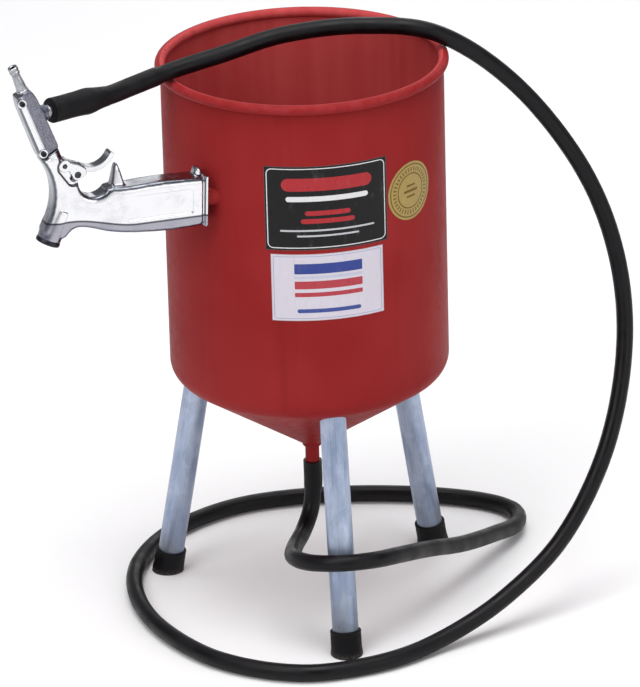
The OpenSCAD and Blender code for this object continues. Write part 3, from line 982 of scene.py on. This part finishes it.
@dataclass
class Hopper:
    """The open hopper: rolled rim, wall, knuckle and cone, with its welds and labels.

    Attributes:
        radius: Outside radius of the wall, in mm, as are all the sizes.
        sheet: Thickness of the steel.
        knuckle: Outside radius of the bend between wall and cone.
        slope: The cone's angle below the horizontal, in degrees.
        spout_radius: Outside radius of the spout.
        cone_low: Height at which the spout leaves the cone.
        rim_height: Height of the rim's centre.
        rim_radius: Radius of the rolled rim.
        seam_ends: Heights at which the back seam starts and ends.
        seam_pitch: The spacing of the ripples in its bead.
    """

    radius: float = 136.0
    sheet: float = 1.5
    knuckle: float = 20.0
    slope: float = 34.0
    spout_radius: float = 6.85
    cone_low: float = 156.0
    rim_height: float = 556.0
    rim_radius: float = 5.0
    seam_ends: tuple[float, float] = (258.0, 549.0)
    seam_pitch: float = 3.0

    def bend(self, inset: float, steps: int = 12) -> Outline:
        """Draws one side of the knuckle and the cone.

        Args:
            inset: How far the side lies inside the outer one, in mm.
            steps: How many steps the knuckle has.

        Returns:
            The knuckle's points from the wall down to the cone, then the cone's end.
        """
        rise, run = math.sin(math.radians(self.slope)), math.cos(math.radians(self.slope))
        middle = self.radius - self.knuckle
        foot = self.cone_low + (middle + self.knuckle * rise - self.spout_radius) * rise / run
        centre = foot + self.knuckle * run
        bend = self.knuckle - inset
        points = []
        for step in range(steps + 1):
            angle = math.radians((90 - self.slope) * step / steps)
            points.append((middle + bend * math.cos(angle), centre - bend * math.sin(angle)))
        low_r, low_z = points[-1]
        neck = self.spout_radius + 0.03
        points.append((neck, low_z - (low_r - neck) * rise / run))
        return points

    def section(self) -> Outline:
        """Returns the shell's closed section: up the outside, over the rim, down the inside."""
        outer = self.bend(0)[::-1] + [(self.radius, self.rim_height - self.rim_radius - 0.6)]
        roll = [(self.radius - 0.25, self.rim_height - self.rim_radius - 0.1)]
        roll += arc(self.radius, self.rim_height, self.rim_radius, range(-78, 252, 11))
        inner_wall = self.radius - self.sheet
        roll.append((inner_wall, self.rim_height - self.rim_radius + 0.1))
        return outer + roll + self.bend(self.sheet)

    def build(self) -> dict[str, Piece]:
        """Builds the shell, its back seam and the weld round the spout."""
        shell = turn("hopper_body", self.section(), Place.HOPPER.value, steps=180, bevel=0)
        finish_edges(shell, 0, 50)
        weld = [(self.spout_radius, 158.2), (self.spout_radius, 153.6)]
        for angle in range(-80, 71, 25):
            turn_by = math.radians(angle)
            weld.append((self.spout_radius + 2.5 * math.cos(turn_by),
                         156.2 + 2.3 * math.sin(turn_by)))
        collar = turn("spout_weld", weld, Place.HOPPER.value, steps=48, bevel=0)
        return {"shell": shell, "collar": collar, "seam": self.seam()}

    def seam(self) -> Piece:
        """Builds the flat weld bead up the back of the wall."""
        outline = [(-2.2, -0.25), (-1.5, 0.25), (-0.7, 0.55), (0.7, 0.55), (1.5, 0.25),
                   (2.2, -0.25)]
        bead = draw("wall_seam", [Vector((x, y, 0)) * MM for x, y in outline], closed=True)
        bpy.ops.object.mode_set(mode="EDIT")
        low, high = self.seam_ends
        count = int((high - low) / self.seam_pitch)
        for step in range(2 * count):
            swell = 1.12 if step % 2 == 0 else 1 / 1.12
            bpy.ops.mesh.extrude_region_move(
                TRANSFORM_OT_translate={"value": (0, 0, self.seam_pitch / 2 * MM)})
            bpy.ops.transform.resize(value=(swell, swell, 1), center_override=(0, 0, 0))
        turn_outwards()
        finish_edges(bead, 0, 60)
        settle(bead, Place.HOPPER.value @ moved(0, self.radius, low))
        return bead

    def dress(self, pieces: dict[str, Piece],
              nodes: dict[str, Piece]) -> None:
        """Paints the hopper and prints its labels.

        Args:
            pieces: The new pieces, by what they are.
            nodes: The frame's CAD nodes, by name.
        """
        paint = RedEnamel("red_enamel", Place.HOPPER.value).make()
        show(pieces["shell"], paint, "tank", "hopper_paint", "hopper_shell")
        show(pieces["collar"], paint, "tank", "hopper_paint")
        show(pieces["seam"], paint, "tank", "hopper_paint")
        dress(nodes, paint, "spout", "hanger_boss")
        labels = (
            ("main_label", Art.DARK_PANEL, (9.0, 457.0), (121.3, 85.0)),
            ("lower_label", Art.PALE_PANEL, (8.75, 376.5), (110.6, 68.0)),
            ("round_label", Art.GOLD_SEAL, (47.5, 455.5), (58.0, 58.0)),
        )
        for name, art, middle, size in labels:
            vinyl = PrintedVinyl("vinyl_" + name, Place.HOPPER.value, art, middle, size)
            dress(nodes, vinyl.make(), name)


@dataclass
class Legs:
    """The three tube legs on their stubs, with rubber feet.

    Attributes:
        foot_radius: Outside radius of a foot, in mm.
        foot_height: Height of a foot along its leg.
        tube_radius: Outside radius of the leg tube.
        pad: Thickness of the rubber under the tube.
    """

    foot_radius: float = 15.0
    foot_height: float = 24.0
    tube_radius: float = 12.73
    pad: float = 7.0

    def foot(self, name: str, place: Matrix) -> Piece:
        """Turns one rubber foot about its leg and trims it flush with the floor.

        Args:
            name: The foot's name.
            place: Its leg's frame.

        Returns:
            The foot, in place.
        """
        r, top = self.foot_radius, self.foot_height
        section = [
            (0, -12), (r + 0.7, -12), (r + 0.7, 2.0), (r + 0.4, 4.0), (r + 0.1, 6.0), (r, 9.0),
            (r, top - 4.0), (r - 0.3, top - 3.6), (r - 0.3, top - 3.0), (r + 0.1, top - 2.6),
            (r + 0.1, top - 0.7), (r - 0.5, top), (self.tube_radius + 0.1, top),
            (self.tube_radius, self.pad), (0, self.pad),
        ]
        piece = turn(name, section, place, steps=72, closed=False, bevel=0.3)
        edit_all()
        bpy.ops.mesh.bisect(plane_co=(0, 0, 0), plane_no=(0, 0, 1), use_fill=True,
                            clear_inner=True)
        bpy.ops.object.mode_set(mode="OBJECT")
        finish_edges(piece, 0, 38)
        return piece

    def build(self) -> dict[str, Piece]:
        """Builds the three feet."""
        return {side: self.foot("rubber_foot_" + side, place.value) for side, place in LEGS.items()}

    def dress(self, pieces: dict[str, Piece],
              nodes: dict[str, Piece]) -> None:
        """Coats the tubes in zinc and blackens the feet.

        Args:
            pieces: The new pieces, by what they are.
            nodes: The frame's CAD nodes, by name.
        """
        rubber = BlackRubber("foot_rubber", Place.HOPPER.value, gloss=0.5, lump=9,
                             dust_top=7).make()
        for side, place in LEGS.items():
            show(pieces[side], rubber, "tank", "moulded_rubber", "foot_" + side)
            zinc = GalvanisedTube("zinc_" + side, place.value).make()
            dress(nodes, zinc, "leg_" + side)
            steel = TurnedMetal("stub_steel_" + side, place.value, gloss=0.32).make()
            dress(nodes, steel, "leg_stub_" + side)


HOSE_ROUTE = [
    (0, 0, 138), (0, 0, 112), (-3, -7, 88), (-11, -28, 74), (-20, -70, 75), (-20, -115, 86),
    (-4, -146, 94), (26, -160, 99), (57, -148, 96), (83, -113, 85), (112, -62, 67),
    (145, -5, 45), (178, 58, 26), (203, 110, 13), (200, 155, 9), (160, 184, 8.6),
    (85, 202, 8.5), (0, 203, 8.5), (-80, 181, 8.5), (-143, 125, 8.5), (-176, 50, 8.5),
    (-176, -30, 8.5), (-148, -110, 8.5), (-92, -180, 8.5), (-15, -212, 8.5), (60, -194, 8.6),
    (120, -153, 12), (185, -110, 36), (244, -66, 80), (288, -22, 154), (308, 18, 242),
    (302, 42, 330), (270, 50, 418), (208, 41, 508), (134, 14, 573), (60, 11, 585.5),
    (-15, -5, 584.5), (-75, -32, 576), (-123, -58, 570.5),
]


@dataclass
class Hose:
    """The abrasive hose from the spout, round the floor and over the rim to the gun.

    Attributes:
        diameter: Outside diameter, in mm.
        mouth: Diameter of the end that is stretched over the spout.
        mouth_length: How far from that end the hose is back to its own diameter.
        mouth_fade: The length over which it narrows.
        steps: Points for each stretch of the route.
        arrival: How far along the barb the route's last points lie, and how high above it.
        cover: Diameter of the cover over the hose next to the sleeve.
        cover_length: How far that cover reaches from the hose's end.
        cover_fade: The length over which it narrows.
    """

    diameter: float = 16.5
    mouth: float = 18.4
    mouth_length: float = 34.0
    mouth_fade: float = 8.0
    steps: int = 10
    arrival: tuple[tuple[float, float], ...] = ((125.0, 3.4), (96.0, 0.2), (72.0, 0.0))
    cover: float = 18.4
    cover_length: float = 82.0
    cover_fade: float = 2.0

    def knots(self) -> list[Vector]:
        """Returns the route's points in metres, with those that lead into the sleeve."""
        into_sleeve = [Place.BARB.value @ (Vector((0, 0, along)) * MM)
                       + Vector((0, 0, rise)) * MM for along, rise in self.arrival]
        return [HOPPER_AXIS + Vector(p) * MM for p in HOSE_ROUTE] + into_sleeve

    def centreline(self) -> list[Vector]:
        """Returns a smooth curve through the route's points."""
        knots = self.knots()
        final = len(knots) - 1
        line = []
        for i in range(final):
            a, b = knots[max(i - 1, 0)], knots[i]
            c, d = knots[i + 1], knots[min(i + 2, final)]
            for k in range(self.steps):
                t = k / self.steps
                line.append(0.5 * (2 * b + (c - a) * t + (2 * a - 5 * b + 4 * c - d) * t * t
                                   + (3 * b - a - 3 * c + d) * t ** 3))
        return line + [knots[-1]]

    def build(self) -> tuple[Piece, list[Vector]]:
        """Builds the hose as a tube along its centreline and returns both."""
        line = self.centreline()
        lengths = [(b - a).length / MM for a, b in zip(line, line[1:])]
        run, whole, swell = 0.0, sum(lengths), []
        for step in [0.0, *lengths]:
            run += step
            mouth = share((self.mouth_length - run) / self.mouth_fade)
            cover = share((self.cover_length - whole + run) / self.cover_fade)
            swell.append(1 + mouth * (self.mouth / self.diameter - 1)
                         + cover * (self.cover / self.diameter - 1))
        piece = tube("air_hose", line, self.diameter / 2, 6, swell)
        edit_all(merge_at=0.01)
        turn_outwards()
        finish_edges(piece, 0, 50)
        return piece, line

    def dress(self, piece: Piece, line: list[Vector]) -> None:
        """Args:
            piece: The hose.
            line: Its centreline, in metres; not used.
        """
        rubber = BlackRubber("hose_rubber", Place.HOPPER.value, gloss=0.34, dust_top=3).make()
        piece.data.materials.clear()
        piece.data.materials.append(rubber)
        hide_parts("hose")
        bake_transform(piece)


@dataclass
class Gun:
    """The cast trigger gun: mixing head, nozzle, barb, sleeve, air inlet and return spring.

    Attributes:
        grip_half: Half the grip's thickness, in mm, as are all the sizes.
        web_half: Half the casting's thickness at the trigger.
        taper: Where the casting thins along the grip, from one thickness to the other.
        pocket_out: How far from the middle the two sides' pockets are centred.
        grain: Cell size of the castings' meshes.
        hinge: The trigger's hinge pin, along the grip and up from it.
        roller: The trigger's roller.
        coil_ends: Where the return spring starts and ends on the valve's axis.
        coil_wire: The spring wire's diameter.
        coil_radius: Radius of the spring at the middle of its wire.
        coil_share: The share of its length that the spring keeps at the full pull; not used.
    """

    grip_half: float = 13.0
    web_half: float = 10.0
    taper: tuple[int, int] = (72, 126)
    pocket_out: float = 15.2
    grain: float = 0.85
    hinge: tuple[float, float] = (143.0, 52.0)
    roller: tuple[float, float] = (130.2, 42.0)
    coil_ends: tuple[float, float] = (12.1, 26.8)
    coil_wire: float = 1.0
    coil_radius: float = 6.2
    coil_share: float = 0.74

    def outline(self) -> Outline:
        """Returns the side outline of grip, web and neck."""
        finger = arc(113, 34, 16.5, range(216, 371, 14))
        bow = arc(213, 24, 59, range(143, 214, 7))
        return [
            (3, -24), (20, -24.8), (37.7, -25.1), (56, -24.3), (73, -22.9), (88, -21),
            (101.8, -18.3), (111, -15.2), (119, -12.6), (127, -10.9), (133.5, -11.2),
            (139, -15.5), (143.5, -22), (160, -16), (164.5, -14.5),
            *bow[::-1], (166.5, 63), (149, 67), (146.5, 56), (139, 52), (132.5, 44),
            *finger[::-1], (97, 25), (80, 24.6), (62, 25.6), (44.8, 26.0), (24, 25.5), (3, 24.8),
        ]

    def body(self) -> Piece:
        """Builds the main casting."""
        main = plate("gun_casting", self.outline(), self.grip_half, 5.5, keep_left_of=4)
        bpy.ops.object.mode_set(mode="EDIT")
        for station in range(self.taper[0], self.taper[1] + 4, 8):
            bpy.ops.mesh.select_all(action="SELECT")
            bpy.ops.mesh.bisect(plane_co=(station * MM, 0, 0), plane_no=(1, 0, 0))
        bpy.ops.object.mode_set(mode="OBJECT")
        low, high = (end * MM for end in self.taper)
        for vertex in main.data.vertices:
            along = share((vertex.co.x - low) / (high - low))
            ease = along * along * (3 - 2 * along)
            vertex.co.z *= 1 + ease * (self.web_half / self.grip_half - 1)
        spur = plate("spur", [(80, 20), (82.5, 28), (85.5, 38), (88, 45), (90.2, 47.6),
                              (92.6, 45), (93.8, 36), (95.5, 27), (99, 20)], 6.5, 3)
        for vertex in spur.data.vertices:
            vertex.co.z *= 1 - 0.45 * share((vertex.co.y / MM - 24) / 22)
        nub = plate("nub", [(4, 20), (4.6, 30), (6.5, 32.8), (9.5, 32.8), (11.6, 30), (12.5, 20)],
                    5, 1.8)
        flange = plate("flange", [(0, -24.5), (0, 25.5), (3.4, 26), (3.4, -25)], 13.5, 0)
        tail = rod("tail", 11.5, 0, 31, self.local(Place.VALVE))
        neck = rod("neck", 9.5, -24, -0.5, self.local(Place.HEAD_AXIS))
        spigot = rod("spigot", 5, -1, 16, self.local(Place.HEAD_AXIS))
        lug = rod("lug", 6, -5, 5, moved(*self.hinge, 0))
        casting = join([main, spur, nub, flange, tail, neck, spigot, lug])
        cutters = [
            rod("valve_bore", 8.1, -2, 39.4, self.local(Place.VALVE)),
            rod("stem_bore", 4.6, 38, 82, self.local(Place.VALVE)),
            rod("peg_bore", 5.9, -3, 38, turned(90, "Y")),
        ]
        cutters.append(plate("roller_room", around(
            [(125, 44, 3.7), (*self.roller, 3.7), (133.2, 39.2, 3.7)]), 20, 0))
        for side in (-1, 1):
            pocket = plate("ear_room", around([(*self.hinge, 8), (128, 44, 9), (134, 39, 7.5)]),
                           10, 0)
            settle(pocket, moved(0, 0, side * self.pocket_out))
            cutters.append(pocket)
            panel = plate("panel", [(15, -7.5), (17, -9.5), (80, -9.5), (82, -7.5), (82, 13),
                                    (80, 15.5), (17, 15.5), (15, 13)], 3, 0)
            settle(panel, moved(0, 0, side * self.pocket_out))
            cutters.append(panel)
        cast(casting, self.grain, cutters, 4)
        settle(casting, Place.GUN.value)
        return casting

    @staticmethod
    def local(place: Place) -> Matrix:
        """Returns a frame as seen from the gun's own frame."""
        return Place.GUN.value.inverted() @ place.value

    def head(self) -> Piece:
        """Builds the mixing head: a tapered bar with slanted sides, and the hose boss."""
        section = [(-11.5, -6.2), (-9.6, -9), (-4.6, -9), (9.5, -4.6), (9.5, 4.6), (-4.6, 9),
                   (-9.6, 9), (-11.5, 6.2)]
        bar = draw("mixing_casting", [Vector((0.2, y, z)) * MM for y, z in section], closed=True)
        bpy.ops.object.mode_set(mode="EDIT")
        for run, wide in ((4, 1.04), (50, 0.93), (7, 0.9), (4.8, 0.84)):
            bpy.ops.mesh.extrude_region_move(TRANSFORM_OT_translate={"value": (run * MM, 0, 0)})
            bpy.ops.transform.resize(value=(1, wide, 0.5 + wide / 2),
                                     center_override=(0, -3 * MM, 0))
        turn_outwards()
        boss = rod("boss", 7.5, 0, 14, Place.HEAD.value.inverted() @ Place.BARB.value)
        head = join([bar, boss])
        cast(head, 0.6, [], 3)
        settle(head, Place.HEAD.value)
        return head

    def copy_cast(self, node: Piece, name: str, grain: float,
                  passes: int) -> Piece:
        """Makes a softened casting from a copy of a CAD node's shape.

        Args:
            node: The CAD node.
            name: The casting's name.
            grain: The size of its mesh's cells, in millimetres.
            passes: How often its surface is smoothed.

        Returns:
            The casting, in place.
        """
        piece = bpy.data.objects.new(name, node.data.copy())
        bpy.context.collection.objects.link(piece)
        piece.matrix_world = Matrix.Identity(4)
        pick(piece)
        edit_all(merge_at=0.005)
        bpy.ops.object.mode_set(mode="OBJECT")
        cast(piece, grain, [], passes)
        return piece

    def nozzle(self) -> Piece:
        """Turns the nozzle: a tapered tube with a grooved collar at its tip."""
        return turn("blast_nozzle", [
            (2.4, 50), (5, 50), (5, 65.6), (5.9, 66.2), (5.9, 68.8), (5.2, 69.4), (5.0, 72),
            (4.5, 79), (4.0, 85), (3.8, 86), (4.5, 86.4), (4.8, 86.9), (4.8, 89.4),
            (4.35, 89.8), (4.35, 90.5), (4.8, 90.9), (4.8, 93.3), (4.3, 94), (2.9, 94),
            (2.4, 93.4),
        ], Place.HEAD_AXIS.value, steps=48, bevel=0.12)

    def barb(self) -> Piece:
        """Turns the hose barb, with its collar and ribs."""
        section = [(3.2, 8), (4.17, 8), (4.17, 14), (6.2, 14), (6.5, 14.3), (6.5, 15.6),
                   (6.0, 15.9), (6.0, 16.5), (6.5, 16.8), (6.5, 17.8), (6.1, 18.1), (5.1, 18.3)]
        for start in (18.6, 26, 33, 40):
            section += [(5.5, start), (5.0, start + 2.2)]
        section += [(4.9, 50), (3.2, 50)]
        return turn("hose_fitting", section, Place.BARB.value, steps=48, bevel=0.1)

    def cuff(self) -> Piece:
        """Turns the thick rubber sleeve over the hose's end, fullest past its middle."""
        piece = turn("hose_sleeve", [
            (5.6, 0), (10.2, 0), (11.4, 0.5), (12.0, 1.6), (12.1, 3.2), (11.8, 3.8), (11.8, 4.4),
            (12.0, 5.0), (12.0, 14), (11.9, 24), (12.0, 32), (12.3, 38), (12.6, 43), (12.4, 47),
            (11.8, 51), (11.1, 55), (10.5, 60), (10.0, 65), (9.7, 69), (9.4, 70), (0, 70), (0, 31),
            (5.6, 31),
        ], Place.BARB.value @ moved(0, 0, 21), steps=64, bevel=0)
        noise = bpy.data.textures.new("sleeve_swell", "CLOUDS")
        noise.noise_scale = 24 * MM
        swell = piece.modifiers.new("swell", "DISPLACE")
        swell.texture = noise
        swell.strength = 1.0 * MM
        swell.mid_level = 0.5
        pick(piece)
        bpy.ops.object.modifier_apply(modifier="swell")
        finish_edges(piece, 0, 50)
        return piece

    def inlet(self) -> Piece:
        """Turns the air inlet ring, with the ridges of its tapped hole."""
        section = [(6.5, -4), (11.2, -4), (11.8, -3.4), (11.8, -0.6), (11.4, 0), (8.97, 0),
                   (8.97, 12), (5.6, 12)]
        for ridge in range(9):
            low = 10.6 - 1.41 * ridge
            section += [(6.2, low), (5.65, low - 0.7)]
        return turn("inlet_ring", section + [(5.7, -2.6)], Place.VALVE.value, steps=64, bevel=0.08)

    def coil(self) -> Piece:
        """Winds the valve's return spring, tighter towards its two ends."""
        low, high = self.coil_ends
        wire, turns, per_turn = self.coil_wire, 6, 28
        line = []
        for index in range(turns * per_turn + 1):
            part = index / (turns * per_turn)
            rise = 0.5 * part + 0.5 * part * part * (3 - 2 * part)
            angle = 2 * math.pi * turns * part
            line.append(Vector((self.coil_radius * math.cos(angle),
                                self.coil_radius * math.sin(angle),
                                low + wire / 2 + (high - low - wire) * rise)) * MM)
        piece = tube("return_spring", line, wire / 2, 3)
        finish_edges(piece, 0, 50)
        settle(piece, Place.VALVE.value)
        return piece

    def build(self, nodes: dict[str, Piece]) -> dict[str, Piece]:
        """Builds every new piece of the gun.

        Args:
            nodes: The frame's CAD nodes, by name.

        Returns:
            The pieces, by what they are.
        """
        return {
            "body": self.body(),
            "head": self.head(),
            "strip": self.copy_cast(nodes["head_cover"], "cover_strip", 0.3, 2),
            "trigger": self.copy_cast(nodes["trigger"], "trigger_casting", 0.45, 3),
            "nozzle": self.nozzle(),
            "barb": self.barb(),
            "cuff": self.cuff(),
            "inlet": self.inlet(),
            "coil": self.coil(),
        }

    def dress(self, pieces: dict[str, Piece],
              nodes: dict[str, Piece]) -> None:
        """Polishes the castings and finishes the small parts.

        Args:
            pieces: The new pieces, by what they are.
            nodes: The frame's CAD nodes, by name.
        """
        gun, head, axis = Place.GUN.value, Place.HEAD.value, Place.HEAD_AXIS.value
        barb, valve = Place.BARB.value, Place.VALVE.value
        for key, finish, body, slot, node in (
            ("body", PolishedCasting("buffed_aluminium", gun, painted_shade_band=True),
             "gun", "cast_aluminium", "gun_body"),
            ("head", PolishedCasting("head_aluminium", head, gloss=0.2, rough_from=-4.5),
             "gun", "cast_aluminium", "mixing_head"),
            ("strip", PolishedCasting("strip_aluminium", head, gloss=0.14),
             "gun", "cast_aluminium", "head_cover"),
            ("trigger", PolishedCasting("trigger_aluminium", gun, gloss=0.2),
             "trigger", "cast_aluminium", "trigger"),
            ("nozzle", TurnedMetal("nozzle_steel", axis, "#AFB1B6", "#5C5F66"),
             "gun", "steel", "nozzle"),
            ("barb", TurnedMetal("barb_steel", barb, "#B9BBC0", "#6A6D74"),
             "gun", "steel", "hose_barb"),
            ("cuff", BlackRubber("sleeve_rubber", barb, gloss=0.5, lump=10),
             "gun", "hose_rubber", "hose_cuff"),
            ("inlet", TurnedMetal("black_oxide", valve, "#3A3B3F", "#1E1E22", 0.7, 0.3),
             "gun", "steel", "air_inlet"),
        ):
            show(pieces[key], finish.make(), body, slot, node)
        dress(nodes, TurnedMetal("screw_oxide", head, "#34353A", "#17171A", 0.5, 0.34).make(),
              "head_screws")
        dress(nodes, TurnedMetal("pin_steel", gun, "#4A4C50", "#2A2B2E", 0.4, 0.3).make(),
              "trigger_pin", "roller_pin")
        bright_steel = TurnedMetal("valve_steel", valve, "#A4A7AB", "#6B6E72").make()
        dress(nodes, bright_steel, "valve_stem", "stem_bushing")
        show(pieces["coil"], bright_steel, "gun", "steel", "valve_spring")
        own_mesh(pieces["coil"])
        for finish, *names in (
            (TurnedMetal("peg_steel", Place.PEG.value, gloss=0.28), "hanger_peg"),
            (TurnedMetal("rim_steel", Place.HOPPER.value, gloss=0.4), "rim_wire"),
            (TurnedMetal("valve_brass", valve, "#C9A04E", "#8A6526"), "valve_seat"),
            (TurnedMetal("jet_brass", axis, "#C9A04E", "#8A6526"), "air_jet"),
            (BlackRubber("seal_rubber", valve, lump=4), "stem_seal", "poppet_seal",
             "jet_washer"),
        ):
            dress(nodes, finish.make(), *names)


# Each lamp's name, its place and size in metres, and its power in watts
LAMPS = (
    ("key", (-1.9, -2.6, 2.7), 1.8, 46),
    ("fill", (2.6, -2.2, 1.5), 2.2, 24),
    ("top", (0.1, -0.5, 3.0), 2.0, 52),
    ("rear", (0.8, 3.0, 2.0), 2.2, 24),
)


@dataclass
class Studio:
    """The pale floor, the soft light and the camera.

    Attributes:
        target: The point that the camera looks at, in metres.
        distance: The camera's distance from it, in metres.
        elevation: The camera's height above the horizon, in degrees.
        roll: The camera's turn about its own view, in degrees.
        lens: Focal length for the image's long side on a 36 mm sensor.
    """

    target: Vector
    distance: float = 6.272
    elevation: float = 22.84
    roll: float = -1.53
    lens: float = 337.26

    def build(self) -> None:
        """Builds the floor, the lights and the camera."""
        bpy.context.scene.view_settings.view_transform = "Standard"
        self.floor()
        self.world()
        for name, place, size, power in LAMPS:
            self.light(name, place, size, power)
        self.camera()

    def floor(self) -> None:
        """Lays the floor under the whole scene."""
        deselect()
        bpy.ops.mesh.primitive_grid_add(x_subdivisions=2, y_subdivisions=2, size=60,
                                        location=(0, 0, -0.0004))
        floor = bpy.context.object
        floor.name = "studio_floor"
        material = bpy.data.materials.new("floor_paper")
        material.use_nodes = True
        shader = material.node_tree.nodes["Principled BSDF"]
        shader.inputs["Base Color"].default_value = linear("#F4F4F4")
        shader.inputs["Roughness"].default_value = 0.9
        shader.inputs["Specular IOR Level"].default_value = 0.1
        floor.data.materials.append(material)

    def world(self) -> None:
        """Makes the room: pale at the horizon and overhead, darker in between."""
        world = bpy.data.worlds.new("studio")
        bpy.context.scene.world = world
        world.use_nodes = True
        tree = world.node_tree
        up = add(tree, "SeparateXYZ", {0: add(tree, "TexCoord").outputs["Generated"]}).outputs["Z"]
        ramp = add(tree, "ValToRGB", {0: up})
        stops = ramp.color_ramp.elements
        stops[0].position, stops[0].color = 0.0, (0.95, 0.95, 0.96, 1)
        stops[1].position, stops[1].color = 0.12, (0.8, 0.8, 0.82, 1)
        for position, tone in ((0.26, 0.16), (0.62, 0.2), (0.8, 0.95), (1.0, 1.1)):
            stop = stops.new(position)
            stop.color = (tone, tone, tone * 1.03, 1)
        back = tree.nodes["Background"]
        tree.links.new(ramp.outputs[0], back.inputs[0])
        back.inputs[1].default_value = 0.85

    def light(self, name: str, place: tuple[float, float, float], size: float,
              power: float) -> None:
        """Adds a soft square light that faces the object.

        Args:
            name: The light's name.
            place: Where it stands, in metres.
            size: Its side, in metres.
            power: Its power, in watts.
        """
        data = bpy.data.lights.new(name, "AREA")
        data.size = size
        data.energy = power
        lamp = bpy.data.objects.new(name, data)
        bpy.context.collection.objects.link(lamp)
        lamp.location = place
        aim = self.target - Vector(place)
        lamp.rotation_euler = aim.to_track_quat("-Z", "Y").to_euler()

    def camera(self) -> None:
        """Sets up the camera."""
        data = bpy.data.cameras.new("camera")
        data.lens = self.lens
        data.sensor_width = 36
        data.clip_end = 100
        camera = bpy.data.objects.new("camera", data)
        bpy.context.collection.objects.link(camera)
        rise = math.radians(self.elevation)
        camera.location = self.target + self.distance * Vector((0, -math.cos(rise), math.sin(rise)))
        tilt = Matrix.Rotation(math.radians(90 - self.elevation), 4, "X")
        roll = Matrix.Rotation(math.radians(self.roll), 4, "Z")
        camera.rotation_euler = (tilt @ roll).to_euler()
        bpy.context.scene.camera = camera


def corners(bounds: tuple[Vector, Vector]) -> list[list[float]]:
    """Returns the lowest and highest corners as plain numbers."""
    return [[round(float(value), 5) for value in corner] for corner in bounds]


def main() -> None:
    """Builds the whole scene in order."""
    logging.basicConfig(level=logging.INFO, format="%(name)s: %(message)s")
    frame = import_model()
    nodes = frame["nodes"]
    Studio(HOPPER_AXIS + Vector((10.38, 0, 261.44)) * MM).build()
    hose = Hose()
    hose.dress(*hose.build())
    hopper = Hopper()
    hopper.dress(hopper.build(), nodes)
    legs = Legs()
    legs.dress(legs.build(), nodes)
    gun = Gun()
    gun.dress(gun.build(nodes), nodes)
    deselect()
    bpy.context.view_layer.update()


if __name__ == "__main__":
    main()
